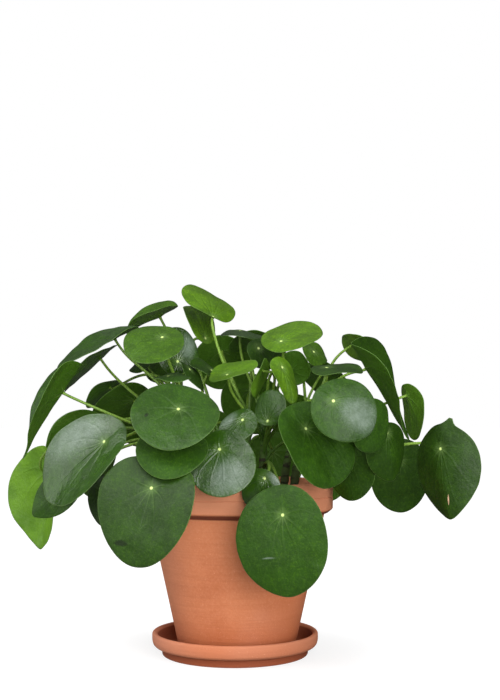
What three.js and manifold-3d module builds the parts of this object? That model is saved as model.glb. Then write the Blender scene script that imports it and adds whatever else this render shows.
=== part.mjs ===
// Potted Chinese money plant in a terracotta pot that stands on a terracotta saucer.
// Millimetres, Z up. The origin is the centre of the saucer's underside, on the floor.
// The side seen in the photo faces -Y and its right-hand side is +X.
import * as THREE from "three";
import { mergeVertices } from "three/addons/utils/BufferGeometryUtils.js";
import Module from "manifold-3d";

const wasm = await Module();
wasm.setup();

// Clearance left between two separate pieces that touch on the real plant
const GAP = 0.3;

// Saucer
const SAUCER_RADIUS = 73.5;
const SAUCER_HEIGHT = 20;
const SAUCER_FOOT_RADIUS = 64.5;
const SAUCER_FOOT_HEIGHT = 6.5;
const SAUCER_WALL = 4.5;
const SAUCER_FLOOR = 6;

// Pot, a standard 17 cm terracotta pot that stands a little to the right in its saucer
const POT_SHIFT = 1.7;
const POT_BOTTOM = SAUCER_FLOOR + GAP;
const POT_TOP = 153;
const POT_BASE_RADIUS = 51.5;
const COLLAR_RADIUS = 85;
const COLLAR_HEIGHT = 24;
const COLLAR_TAPER = 4.5;
const BODY_TOP_RADIUS = 77.6;
const POT_WALL = 7;
const POT_FLOOR = 8;
const DRAIN_RADIUS = 8;
const GROOVE_DROP = 13;
const GROOVE_DEPTH = 0.6;
const EDGE_ROUND = 1.3;
const ROUND_SIDES = 40;

// Where the tapering body ends under the collar, and the radii inside the pot
const SHOULDER = POT_TOP - COLLAR_HEIGHT - 4;
const INNER_BASE_RADIUS = POT_BASE_RADIUS - POT_WALL + 1.5;
const INNER_TOP_RADIUS = BODY_TOP_RADIUS - POT_WALL;

// Soil, filled to a little below the rim
const SOIL_TOP = 139;
const SOIL_CLEARANCE = 0.8;
const SOIL_SIDES = 32;
const SOIL_WAVE = 1.4;
const SOIL_RINGS = [0.8, 0.52, 0.26, 0];
const HOLE_DEPTH = 16;
const HOLE_CLEARANCE = 0.6;
const HOLE_SIDES = 12;

// Stems: a short woody trunk for each plantlet, with a slim petiole to every leaf
const TRUNK_RADIUS = 4.6;
const TRUNK_TIP_RADIUS = 2.8;
const TRUNK_SIDES = 7;
const TRUNK_STEPS = 6;
const PETIOLE_RADIUS = 1.45;
const PETIOLE_TIP_RADIUS = 1.15;
const PETIOLE_SIDES = 5;
const PETIOLE_STEPS = 4;
const PETIOLE_LANDING = 2.5;

// A petiole leaves the trunk higher up for a higher leaf, and spreads and rises as shares of its span
const REACH = { middle: 0.5, height: 150, span: 250, least: 0.45, most: 0.97 };
const SPREAD_SHARE = 0.22;
const RISE_SHARE = 0.5;
const ARRIVAL_SHARE = 0.3;
const ARRIVAL_LIFT = 0.9;

// Leaf blades: peltate discs whose joint lies nearer the base than the tip
const BLADE_THICKNESS = 1.1;
const BASE_SHARE = 0.3;
const EGG = 0.07;
const BEND = [20, 14];
const WAVE = 1.2;
const DIMPLE = 0.8;
const DIMPLE_SHARE = 0.25;
const MIDRIB_ROUND = 3;

// How finely a blade is divided: spokes round the joint, and rings as shares of its reach
const LARGE_LEAF = 55;
const FINE = { spokes: 15, levels: [0.3, 0.65, 1] };
const COARSE = { spokes: 13, levels: [0.5, 1] };
const FAR_SIDE = { spokes: 12, levels: [0.55, 1] };

const COLOURS = {
  terracotta: 0xcf8159,
  saucer: 0xc97a52,
  soil: 0x2e2119,
  stem: 0x8fa84a,
  leaf: 0x3c6a2f,
  young: 0x5f9440,
};

const standard = (color, roughness) =>
  new THREE.MeshStandardMaterial({ color, roughness, metalness: 0 });

// Solids

/** A closed geometry as a solid that can be joined or cut. */
function solidOf(geometry) {
  const bare = geometry.clone();
  bare.deleteAttribute("normal");
  bare.deleteAttribute("uv");
  const merged = mergeVertices(bare, 1e-4);
  return new wasm.Manifold(
    new wasm.Mesh({
      numProp: 3,
      vertProperties: merged.attributes.position.array,
      triVerts: new Uint32Array(merged.index.array),
    }),
  );
}

/** A solid as a named mesh with its own material. */
function meshOf(name, solid, color, roughness) {
  const made = solid.getMesh();
  const positions = new Float32Array(made.numVert * 3);
  for (let i = 0; i < made.numVert; i++) {
    const from = i * made.numProp;
    positions.set(made.vertProperties.subarray(from, from + 3), i * 3);
  }
  const geometry = new THREE.BufferGeometry();
  geometry.setAttribute("position", new THREE.BufferAttribute(positions, 3));
  geometry.setIndex(new THREE.BufferAttribute(new Uint32Array(made.triVerts), 1));
  geometry.computeVertexNormals();
  const mesh = new THREE.Mesh(geometry, standard(color, roughness));
  mesh.name = name;
  return mesh;
}

/** A profile of [radius, height] points turned about the Z axis. */
function turned(profile, sides) {
  const points = profile.map(([radius, height]) => new THREE.Vector2(radius, height));
  return new THREE.LatheGeometry(points, sides).rotateX(Math.PI / 2);
}

/**
 * Rings of equally many points, joined in order and closed with a fan at both ends.
 * From the ring turnAt on, the squares are split the other way, as on a blade's upper face.
 */
function skin(rings, startPoint, endPoint, turnAt = rings.length) {
  const sides = rings[0].length;
  const points = [startPoint, ...rings.flat(), endPoint];
  const top = 1 + (rings.length - 1) * sides;
  const faces = [];
  for (let i = 0; i < sides; i++) {
    const next = (i + 1) % sides;
    faces.push(0, 1 + next, 1 + i);
    for (let ring = 0; ring < rings.length - 1; ring++) {
      const low = 1 + ring * sides;
      const high = low + sides;
      if (ring < turnAt) {
        faces.push(low + i, low + next, high + i, low + next, high + next, high + i);
      } else {
        faces.push(low + i, low + next, high + next, low + i, high + next, high + i);
      }
    }
    faces.push(top + i, top + next, points.length - 1);
  }
  const geometry = new THREE.BufferGeometry().setFromPoints(points);
  geometry.setIndex(faces);
  return solidOf(geometry);
}

/** A tapering tube along a curve; endNormal turns its last ring to lie flat on a leaf. */
function tube(curve, [startRadius, endRadius], sides, steps, endNormal) {
  const frames = curve.computeFrenetFrames(steps);
  const rings = [];
  for (let step = 0; step <= steps; step++) {
    const centre = curve.getPointAt(step / steps);
    const radius = THREE.MathUtils.lerp(startRadius, endRadius, step / steps);
    let across = frames.normals[step];
    let other = frames.binormals[step];
    if (endNormal && step === steps) {
      across = across.clone().projectOnPlane(endNormal).normalize();
      other = endNormal.clone().cross(across);
    }
    rings.push(
      Array.from({ length: sides }, (_, i) => {
        const angle = (i / sides) * 2 * Math.PI;
        return centre
          .clone()
          .addScaledVector(across, radius * Math.cos(angle))
          .addScaledVector(other, radius * Math.sin(angle));
      }),
    );
  }
  return skin(rings, curve.getPointAt(0), curve.getPointAt(1));
}

// Terracotta

/** The saucer: a recessed foot, an upright rounded wall and a flat floor inside. */
function saucer() {
  const inside = SAUCER_RADIUS - SAUCER_WALL;
  const profile = [
    [0, 0],
    [SAUCER_FOOT_RADIUS - 1, 0],
    [SAUCER_FOOT_RADIUS, 1],
    [SAUCER_FOOT_RADIUS + 0.6, SAUCER_FOOT_HEIGHT],
    [SAUCER_RADIUS - 2.4, SAUCER_FOOT_HEIGHT + 1.2],
    [SAUCER_RADIUS - 0.5, SAUCER_FOOT_HEIGHT + 3.4],
    [SAUCER_RADIUS, SAUCER_HEIGHT - 2.2],
    [SAUCER_RADIUS - 0.9, SAUCER_HEIGHT - 0.5],
    [SAUCER_RADIUS - 2.3, SAUCER_HEIGHT],
    [inside + 0.6, SAUCER_HEIGHT - 0.7],
    [inside - 0.4, SAUCER_HEIGHT - 2.6],
    [inside - 2.2, SAUCER_FLOOR + 2.4],
    [inside - 4.8, SAUCER_FLOOR],
    [0, SAUCER_FLOOR],
  ];
  return solidOf(turned(profile, ROUND_SIDES));
}

/** The pot: a tapering body with a drain hole, and a heavy collar with one fine groove. */
function pot() {
  const collarLow = POT_TOP - COLLAR_HEIGHT;
  const groove = POT_TOP - GROOVE_DROP;
  const inside = COLLAR_RADIUS - POT_WALL;
  const profile = [
    [DRAIN_RADIUS, POT_BOTTOM],
    [POT_BASE_RADIUS - 1, POT_BOTTOM],
    [POT_BASE_RADIUS, POT_BOTTOM + 1],
    [BODY_TOP_RADIUS, SHOULDER],
    [COLLAR_RADIUS - COLLAR_TAPER, SHOULDER + 0.4],
    [COLLAR_RADIUS - 0.5, collarLow - 0.4],
    [COLLAR_RADIUS, collarLow + 0.4],
    [COLLAR_RADIUS, groove - 0.8],
    [COLLAR_RADIUS - GROOVE_DEPTH, groove],
    [COLLAR_RADIUS, groove + 0.8],
    [COLLAR_RADIUS, POT_TOP - EDGE_ROUND],
    [COLLAR_RADIUS - EDGE_ROUND, POT_TOP],
    [inside + 0.8, POT_TOP],
    [inside - 0.2, POT_TOP - 1.2],
    [INNER_TOP_RADIUS, SHOULDER],
    [INNER_BASE_RADIUS, POT_BOTTOM + POT_FLOOR],
    [DRAIN_RADIUS, POT_BOTTOM + POT_FLOOR],
    [DRAIN_RADIUS, POT_BOTTOM],
  ];
  return solidOf(turned(profile, ROUND_SIDES).translate(POT_SHIFT, 0, 0));
}

/** The hole in the soil that one plantlet's trunk stands in. */
function trunkHole([x, y]) {
  const radius = TRUNK_RADIUS + HOLE_CLEARANCE;
  const height = HOLE_DEPTH + 10;
  const hole = new THREE.CylinderGeometry(radius, radius, height, HOLE_SIDES);
  hole.rotateX(Math.PI / 2).translate(x, y, SOIL_TOP - HOLE_DEPTH + height / 2);
  return solidOf(hole);
}

/** The soil: fills the pot up to an uneven surface, with a plain hole for every trunk. */
function soil(plantlets) {
  const floor = POT_BOTTOM + POT_FLOOR + GAP;
  const upper = INNER_TOP_RADIUS - SOIL_CLEARANCE;
  const profile = [
    [0, floor],
    [INNER_BASE_RADIUS - SOIL_CLEARANCE, floor],
    [upper, SHOULDER],
    [upper + 1.4, SOIL_TOP - 2],
    ...SOIL_RINGS.map((share) => [INNER_TOP_RADIUS * share, SOIL_TOP]),
  ];
  const body = turned(profile, SOIL_SIDES);
  const position = body.attributes.position;
  for (let i = 0; i < position.count; i++) {
    const x = position.getX(i);
    const y = position.getY(i);
    if (position.getZ(i) < SOIL_TOP - 0.01) continue;
    const swell = Math.sin(x * 0.19 + 1) * Math.cos(y * 0.23);
    const ripple = 0.5 * Math.sin(x * 0.31 - y * 0.27);
    position.setZ(i, SOIL_TOP + SOIL_WAVE * (swell + ripple));
  }
  const whole = solidOf(body.translate(POT_SHIFT, 0, 0));
  return plantlets.reduce((made, { root }) => made.subtract(trunkHole(root)), whole);
}

// Plant

const UP = new THREE.Vector3(0, 0, 1);
const radians = THREE.MathUtils.degToRad;

/**
 * The three directions of a blade at its joint. face is [turn, lift, roll] in degrees:
 * turn carries the upper side from the front (-Y) towards +X, lift tips it upwards, and
 * roll swings the tip from straight downhill towards the photo's left.
 */
function bladeFrame([turn, lift, roll]) {
  const t = radians(turn);
  const e = radians(lift);
  const normal = new THREE.Vector3(
    Math.sin(t) * Math.cos(e),
    -Math.cos(t) * Math.cos(e),
    Math.sin(e),
  );
  const downhill = new THREE.Vector3(
    Math.sin(t) * Math.sin(e),
    -Math.cos(t) * Math.sin(e),
    -Math.cos(e),
  );
  const level = downhill.clone().cross(normal);
  const tip = downhill
    .clone()
    .multiplyScalar(Math.cos(radians(roll)))
    .addScaledVector(level, Math.sin(radians(roll)));
  return { normal, tip, side: normal.clone().cross(tip) };
}

/** How far a curve that turns by amount radians a millimetre gets along and drops. */
function bent(amount, distance) {
  if (Math.abs(amount) < 1e-6) return [distance, 0];
  return [Math.sin(amount * distance) / amount, (1 - Math.cos(amount * distance)) / amount];
}

/**
 * A blade: an egg-shaped disc bent by droop degrees over its length and curl degrees
 * over its width, folded up along its midrib by fold degrees, with a gently waved margin.
 */
function blade(leaf, { spokes, levels }) {
  const { at, face, size, bend = BEND, fold = 0, egg = EGG, point = 0, base = BASE_SHARE } = leaf;
  const { normal, tip, side } = bladeFrame(face);
  const [length, width] = size;
  const droop = radians(bend[0]) / length;
  const curl = radians(bend[1]) / width;
  const lean = radians(fold);
  const place = (share, angle, layer) => {
    const margin = Math.cos(angle);
    const narrowing = 1 - egg * margin - point * Math.max(0, margin) ** 3;
    const flatX = share * length * (0.5 - base + 0.5 * margin);
    const flatY = share * width * 0.5 * Math.sin(angle) * narrowing;
    const ripple = WAVE * share ** 3 * Math.sin(3 * angle + length);
    const hollow = DIMPLE * (Math.min(1, share / DIMPLE_SHARE) - 1);
    const rise = Math.hypot(flatY, MIDRIB_ROUND) - MIDRIB_ROUND;
    const [x, dropX] = bent(droop, flatX);
    const [y, dropY] = bent(curl, flatY * Math.cos(lean));
    const up = ripple + hollow + rise * Math.sin(lean) - dropY + layer;
    return new THREE.Vector3(...at)
      .addScaledVector(tip, x + up * Math.sin(droop * flatX))
      .addScaledVector(side, y)
      .addScaledVector(normal, up * Math.cos(droop * flatX) - dropX);
  };
  const ring = (share, layer) =>
    Array.from({ length: spokes }, (_, i) => place(share, (i / spokes) * 2 * Math.PI, layer));
  const half = BLADE_THICKNESS / 2;
  const under = levels.map((share) => ring(share, -half));
  const over = levels.map((share) => ring(share, half)).reverse();
  return skin([...under, ...over], place(0, 0, -half), place(0, 0, half), levels.length);
}

/**
 * The petiole of one leaf, from the trunk to just under the blade's joint, or into the
 * blade where the two are fused.
 */
function petiole(trunk, leaf, fused) {
  const { normal } = bladeFrame(leaf.face);
  const joint = new THREE.Vector3(...leaf.at);
  const underside = -DIMPLE - BLADE_THICKNESS / 2;
  const end = joint.clone().addScaledVector(normal, fused ? -DIMPLE : underside - GAP);
  const landing = joint.clone().addScaledVector(normal, underside - PETIOLE_LANDING);
  const reach = REACH.middle + (joint.z - REACH.height) / REACH.span;
  const start = trunk.getPointAt(THREE.MathUtils.clamp(reach, REACH.least, REACH.most));
  const span = landing.clone().sub(start);
  const distance = span.length();
  const outward = span.setZ(0);
  if (outward.length() > 1) outward.normalize();
  const first = start
    .clone()
    .addScaledVector(outward, distance * SPREAD_SHARE)
    .addScaledVector(UP, distance * (leaf.rise ?? RISE_SHARE));
  const approach = normal
    .clone()
    .negate()
    .addScaledVector(UP, ARRIVAL_LIFT * (1 - Math.abs(normal.z)))
    .normalize();
  const second = leaf.via
    ? new THREE.Vector3(...leaf.via)
    : landing.clone().addScaledVector(approach, distance * ARRIVAL_SHARE);
  if (leaf.bow) {
    const bow = new THREE.Vector3(...leaf.bow);
    first.add(bow);
    second.add(bow);
  }
  const arc = new THREE.CubicBezierCurve3(start, first, second, landing);
  const knots = [...arc.getPoints(PETIOLE_STEPS), end];
  const curve = new THREE.CatmullRomCurve3(knots, false, "centripetal");
  return tube(curve, [PETIOLE_RADIUS, PETIOLE_TIP_RADIUS], PETIOLE_SIDES, PETIOLE_STEPS + 2, normal);
}

/** The centre line of a plantlet's trunk, from the bottom of its hole to its tip. */
function trunkLine({ root, top }) {
  const [x, y] = root;
  return new THREE.QuadraticBezierCurve3(
    new THREE.Vector3(x, y, SOIL_TOP - HOLE_DEPTH + GAP),
    new THREE.Vector3(x, y, (SOIL_TOP + top[2]) / 2),
    new THREE.Vector3(...top),
  );
}

/** A plantlet's trunk with the petioles of its leaves, and with blades when they are fused. */
function plantletStem(plantlet, leaves, fused) {
  const line = trunkLine(plantlet);
  let made = tube(line, [TRUNK_RADIUS, TRUNK_TIP_RADIUS], TRUNK_SIDES, TRUNK_STEPS);
  for (const leaf of leaves) {
    made = made.add(petiole(line, leaf, fused));
    if (fused) made = made.add(blade(leaf, FAR_SIDE));
  }
  return made;
}

// Plantlets whose leaves are nodes of their own
const PLANTLETS = [
  { name: "stem_main", root: [24, -6], top: [26, -8, 196] },
  { name: "stem_left", root: [-34, -12], top: [-42, -14, 200] },
  { name: "stem_right", root: [52, 14], top: [64, 8, 196] },
  { name: "stem_front", root: [-6, -40], top: [-10, -46, 176] },
];

const LEAVES = [
  // Front, hanging over the pot
  {
    name: "front_right",
    stem: 0,
    at: [38.5, -128, 133],
    face: [-20, 6, 0],
    size: [89, 75],
    bend: [31, 5],
    fold: 5,
    egg: 0,
    point: 0.09,
    base: 0.27,
    rise: 0.35,
    via: [42, -97, 140],
  },
  {
    name: "front_left",
    stem: 3,
    at: [-63.5, -128, 154],
    face: [-14, 23, 10],
    size: [90, 79],
    bend: [48, 0],
    fold: 8,
    egg: 0.2,
  },
  {
    name: "front_centre",
    stem: 3,
    at: [-11, -106, 183.5],
    face: [-8, 24, -14],
    size: [57, 53],
    bend: [14, 2],
    fold: -1,
    egg: -0.09,
    point: 0.03,
    rise: 0.25,
  },
  {
    name: "front_small",
    stem: 0,
    at: [25, -98, 160],
    face: [-20, 5, 20],
    size: [35, 34],
    base: 0.2,
    rise: 0.12,
  },
  { name: "low_front", stem: 1, at: [-107, -68, 149], face: [-35, 5, 6], size: [44, 38] },
  {
    name: "tuck_left",
    stem: 1,
    at: [-142, -66, 151],
    face: [-14, 12, 48],
    size: [52, 34],
    egg: 0.2,
    point: 0.3,
  },
  // Left
  {
    name: "middle_left",
    stem: 1,
    at: [-43, -120, 215.5],
    face: [-1, 42, 20],
    size: [66, 71],
    bend: [25, 1],
    fold: 4,
    egg: 0.03,
    point: 0.09,
    base: 0.39,
  },
  { name: "under_middle", stem: 3, at: [-47, -112, 192], face: [-3, 45, 6], size: [56, 57] },
  {
    name: "left",
    stem: 1,
    at: [-104.5, -95, 189.5],
    face: [-32, 26, 43],
    size: [90, 73],
    bend: [12, -45],
    fold: 4,
    egg: -0.09,
    point: 0.37,
    base: 0.24,
  },
  {
    name: "low_left",
    stem: 1,
    at: [-168, 0, 160.5],
    face: [143, 8, -5],
    size: [94, 65],
    bend: [25, 63],
    fold: -22,
    egg: 0.04,
    point: 0.37,
    base: 0.26,
    via: [-186, -62, 188],
  },
  { name: "behind_left", stem: 1, at: [-136, 22, 195], face: [-150, 16, -30], size: [72, 64] },
  {
    name: "drape_left",
    stem: 1,
    at: [-146.5, -45, 230.5],
    face: [-75, 34, 4],
    size: [95, 66],
    bend: [14, 32],
    fold: 34,
    egg: 0.58,
    point: 0.49,
    base: 0.31,
    rise: 0.05,
    via: [-114, -50, 215],
  },
  {
    name: "edge_left",
    stem: 1,
    at: [-125, 34, 264],
    face: [-90, 51, 1],
    size: [66, 57],
    bend: [19, 7],
    fold: 8,
    egg: 0.1,
    point: 0.07,
    base: 0.31,
    rise: 0.1,
    via: [-109.5, 30, 240],
  },
  {
    name: "long_left",
    stem: 1,
    at: [-108, 6, 280],
    face: [-59, 60, 20],
    size: [82, 75],
    bend: [5, 14],
    fold: 13,
    egg: -0.03,
    base: 0.29,
  },
  {
    name: "high_left",
    stem: 1,
    at: [-71.5, 54, 304],
    face: [-59, 61, 30],
    size: [55, 54],
    bend: [5, 9],
    fold: 28,
    point: 0.04,
    base: 0.36,
  },
  {
    name: "round_left",
    stem: 1,
    at: [-59.5, -70, 275.5],
    face: [-8, 52, 42],
    size: [49, 56],
    bend: [27, 1],
    fold: 1,
    egg: -0.1,
    point: 0.1,
    base: 0.32,
  },
  {
    name: "top",
    stem: 0,
    at: [-18.5, -30, 296],
    face: [42, 43, -155],
    size: [56, 52],
    bend: [18, 14],
    fold: -2,
    egg: -0.09,
    point: 0.08,
    base: 0.05,
    rise: 0.25,
    via: [-15.5, -28, 262],
    young: true,
  },
  {
    name: "under_top",
    stem: 3,
    at: [-26.5, 4, 280],
    face: [50, 17, 179],
    size: [42, 37],
    bend: [35, 18],
    fold: 9,
    egg: -0.1,
    base: 0.13,
    young: true,
  },
  { name: "behind_round", stem: 1, at: [-50, -18, 258], face: [30, 10, -172], size: [46, 42] },
  { name: "shade_left", stem: 1, at: [-84, 46, 262], face: [-40, 60, 0], size: [28, 26] },
  {
    name: "shade_low_left",
    stem: 1,
    at: [-120, 70, 238.5],
    face: [-137, 50, -31],
    size: [41, 32],
    bend: [24, 6],
    egg: 0,
    base: 0.27,
    bow: [0, 0, 30],
  },
  { name: "shade_middle_left", stem: 1, at: [-95, 50, 226], face: [-158, 46, -61], size: [58, 52] },
  { name: "flat_left", stem: 1, at: [-54, -74, 243], face: [-30, 82, -60], size: [38, 30] },
  { name: "narrow_left", stem: 3, at: [-38, -46, 250], face: [70, 40, 0], size: [34, 26] },
  { name: "small_middle", stem: 3, at: [-20, -30, 250], face: [60, 50, 120], size: [30, 26] },
  // Middle
  {
    name: "middle_flat",
    stem: 0,
    at: [-6, -60, 245],
    face: [-35, 63, -112],
    size: [44, 41],
    bend: [-20, 20],
    fold: 15,
    egg: 0.04,
    point: 0.33,
    base: 0.35,
    rise: 0.3,
    via: [-5, -46, 224],
    young: true,
  },
  { name: "middle_small", stem: 3, at: [7, -72, 207], face: [-20, 34, 30], size: [36, 32] },
  {
    name: "middle_dark",
    stem: 0,
    at: [28, -60, 206],
    face: [-30, 4, -172],
    size: [31, 30],
    base: 0.13,
  },
  {
    name: "middle_edge",
    stem: 0,
    at: [23.5, -33, 249.5],
    face: [-112, 22, 0],
    size: [36, 28],
    young: true,
  },
  {
    name: "middle_bright",
    stem: 0,
    at: [40.5, -48, 251.5],
    face: [43, 28, -4],
    size: [44, 27],
    bend: [25, 1],
    fold: -8,
    egg: 0.28,
    point: 0.12,
    base: 0.24,
    young: true,
  },
  {
    name: "back_top",
    stem: 0,
    at: [4, 50, 290.5],
    face: [20, 82, 0],
    size: [35, 42],
    bend: [35, 17],
    fold: -8,
    egg: -0.05,
    point: 0.21,
    base: 0.32,
  },
  { name: "back_middle", stem: 0, at: [21, 20, 272], face: [30, 30, -20], size: [32, 28] },
  // Right
  {
    name: "high_right",
    stem: 0,
    at: [40, -30, 275],
    face: [-19, 55, -147],
    size: [57, 54],
    bend: [16, 0],
    fold: -1,
    egg: 0.02,
    point: 0.26,
    base: 0.26,
    young: true,
  },
  {
    name: "behind_high",
    stem: 2,
    at: [72.5, 46, 270.5],
    face: [37, 40, -41],
    size: [27, 35],
    bend: [18, 0],
    fold: -8,
    egg: -0.1,
    point: 0.38,
    base: 0.43,
  },
  { name: "shade_right", stem: 2, at: [50, 36, 252], face: [150, 20, 120], size: [36, 32] },
  { name: "flat_right", stem: 2, at: [76, -80, 250], face: [-12, 74, -95], size: [43, 40] },
  {
    name: "middle_right",
    stem: 0,
    at: [58, -100, 200],
    face: [28, 26, -29],
    size: [76, 69],
    bend: [32, -13],
    fold: 6,
    egg: -0.1,
    point: 0.08,
    base: 0.31,
  },
  {
    name: "round_right",
    stem: 0,
    at: [77.5, -135, 221.5],
    face: [0, 17, -54],
    size: [55, 51],
    bend: [41, 0],
    fold: -6,
    egg: 0.04,
    point: 0.11,
    base: 0.29,
    rise: 0.25,
  },
  { name: "under_round", stem: 2, at: [108, -95, 208.5], face: [38, -4, -39], size: [46, 44] },
  {
    name: "drape_right",
    stem: 2,
    at: [114.5, -25, 251.5],
    face: [75, 30, -17],
    size: [101, 66],
    bend: [3, -9],
    fold: 25,
    egg: 0.9,
    base: 0.26,
  },
  {
    name: "behind_drape",
    stem: 2,
    at: [108.5, 34, 277],
    face: [114, 41, 9],
    size: [32, 50],
    bend: [22, 2],
    fold: 4,
    egg: 0.09,
    point: 0.03,
    base: 0.38,
  },
  {
    name: "far_right",
    stem: 2,
    at: [174, -50, 182.5],
    face: [-41, 4, -6],
    size: [82, 64],
    bend: [26, 57],
    fold: -8,
    egg: 0.16,
    point: 0.27,
    base: 0.26,
    rise: 0.12,
    bow: [0, 0, -10],
  },
  {
    name: "edge_right",
    stem: 2,
    at: [156, 20, 229],
    face: [110, 13, 11],
    size: [52, 44],
    bend: [22, 7],
    fold: 10,
    egg: 0.01,
    point: 0.08,
    base: 0.21,
    rise: 0.15,
    via: [135, 15, 223],
  },
  { name: "low_right", stem: 2, at: [152, 40, 169], face: [10, -2, -4], size: [70, 58] },
  {
    name: "fold_right",
    stem: 2,
    at: [127, -66, 196],
    face: [32, 1, -12],
    size: [51, 45],
    bend: [19, 32],
    fold: -8,
    egg: 0.17,
    point: 0.25,
    base: 0.17,
  },
  { name: "low_middle_right", stem: 0, at: [97, -52, 175], face: [-30, 3, -3], size: [52, 46] },
];

// Plantlets of the far side, each one leafy stem
const LEAFY = [
  {
    name: "leafy_stem_back",
    root: [8, 40],
    top: [12, 48, 200],
    leaves: [
      { at: [16, 78, 282], face: [170, 60, 20], size: [60, 54] },
      { at: [-14, 92, 274], face: [-175, 40, 0], size: [62, 56] },
      { at: [14, 112, 236], face: [170, 34, 0], size: [70, 62] },
      { at: [58, 104, 216], face: [150, 25, 0], size: [64, 58] },
      { at: [-30, 118, 200], face: [-165, 24, 0], size: [66, 60] },
      { at: [36, 122, 175], face: [178, 12, 0], size: [68, 60] },
    ],
  },
  {
    name: "leafy_stem_back_left",
    root: [-42, 28],
    top: [-50, 36, 190],
    leaves: [
      { at: [-60, 72, 272], face: [-140, 50, 0], size: [56, 50] },
      { at: [-84, 96, 222], face: [-140, 34, 0], size: [66, 60] },
      { at: [-128, 54, 180], face: [-115, 20, 0], size: [66, 60] },
      { at: [-74, 108, 168], face: [-150, 10, 0], size: [62, 58] },
    ],
  },
  {
    name: "leafy_stem_back_right",
    root: [44, 44],
    top: [54, 52, 190],
    leaves: [
      { at: [82, 72, 252], face: [140, 50, 0], size: [54, 50] },
      { at: [98, 82, 228], face: [130, 35, 0], size: [66, 60] },
      { at: [132, 70, 186], face: [125, 20, 0], size: [64, 58] },
      { at: [88, 106, 170], face: [145, 8, 0], size: [62, 56] },
    ],
  },
];

/** The whole object as one group of named meshes. */
function build() {
  const group = new THREE.Group();
  group.name = "potted_money_plant";
  group.add(meshOf("saucer", saucer(), COLOURS.saucer, 0.85));
  group.add(meshOf("pot", pot(), COLOURS.terracotta, 0.85));
  group.add(meshOf("soil", soil([...PLANTLETS, ...LEAFY]), COLOURS.soil, 0.95));
  PLANTLETS.forEach((plantlet, index) => {
    const own = LEAVES.filter((leaf) => leaf.stem === index);
    group.add(meshOf(plantlet.name, plantletStem(plantlet, own, false), COLOURS.stem, 0.5));
  });
  for (const leaf of LEAVES) {
    const made = blade(leaf, leaf.size[0] > LARGE_LEAF ? FINE : COARSE);
    const color = leaf.young ? COLOURS.young : COLOURS.leaf;
    group.add(meshOf(`leaf_${leaf.name}`, made, color, 0.4));
  }
  for (const plantlet of LEAFY) {
    const made = plantletStem(plantlet, plantlet.leaves, true);
    group.add(meshOf(plantlet.name, made, COLOURS.leaf, 0.45));
  }
  return group;
}

export default build();
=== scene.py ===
"""Potted Chinese money plant: the finish of every piece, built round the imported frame.

Metres, Z up. The side seen in the photograph faces -Y and its right-hand side is +X.
"""

import logging
import math
import random
from collections.abc import Callable, Sequence
from dataclasses import dataclass
from enum import Enum

import bmesh
import bpy
from mathutils import Matrix, Vector, noise


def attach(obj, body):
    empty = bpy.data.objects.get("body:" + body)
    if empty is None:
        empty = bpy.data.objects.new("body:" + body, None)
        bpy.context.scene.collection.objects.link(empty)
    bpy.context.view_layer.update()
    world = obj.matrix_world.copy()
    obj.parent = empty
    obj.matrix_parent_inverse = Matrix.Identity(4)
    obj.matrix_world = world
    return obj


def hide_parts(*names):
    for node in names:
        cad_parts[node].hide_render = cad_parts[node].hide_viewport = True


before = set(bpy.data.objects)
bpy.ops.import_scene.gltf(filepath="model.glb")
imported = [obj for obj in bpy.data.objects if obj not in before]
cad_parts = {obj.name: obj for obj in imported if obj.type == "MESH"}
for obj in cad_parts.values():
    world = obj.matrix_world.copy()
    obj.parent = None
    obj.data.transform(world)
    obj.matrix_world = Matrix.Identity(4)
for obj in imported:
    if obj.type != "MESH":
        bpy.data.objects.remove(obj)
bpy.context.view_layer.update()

Pair = tuple[float, float]
Place = tuple[float, float, float]
Colour = tuple[float, float, float]
Mesh = bmesh.types.BMesh
Material = bpy.types.Material
Socket = bpy.types.NodeSocket
Input = Socket | float | Sequence[float]
# How many clouds fit in a metre, how many finer layers they have, and how strong those are
Noise = tuple[float, float, float]
# Where a number's run starts and stops and, if not 0 and 1, what it turns into there
Run = tuple[float, ...]

UP = Vector((0.0, 0.0, 1.0))
FULL_TURN = 2 * math.pi
TINY = 1e-6
DISC_GAP = 1e-5
log = logging.getLogger("money_plant")


class Tone(Enum):
    """How light a leaf's green is. The darkest tone is an old leaf's green darkened as painted shade, for
    leaves deep in the plant's shadow; the middle ones run from a grown leaf to one that has just opened;
    SUNLIT is painted light, for a lit leaf.
    """

    IN_SHADE = 0.0
    GROWN = 0.35
    FRESH = 0.55
    YOUNG = 0.68
    SUNLIT = 1.0


# Node materials


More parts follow.
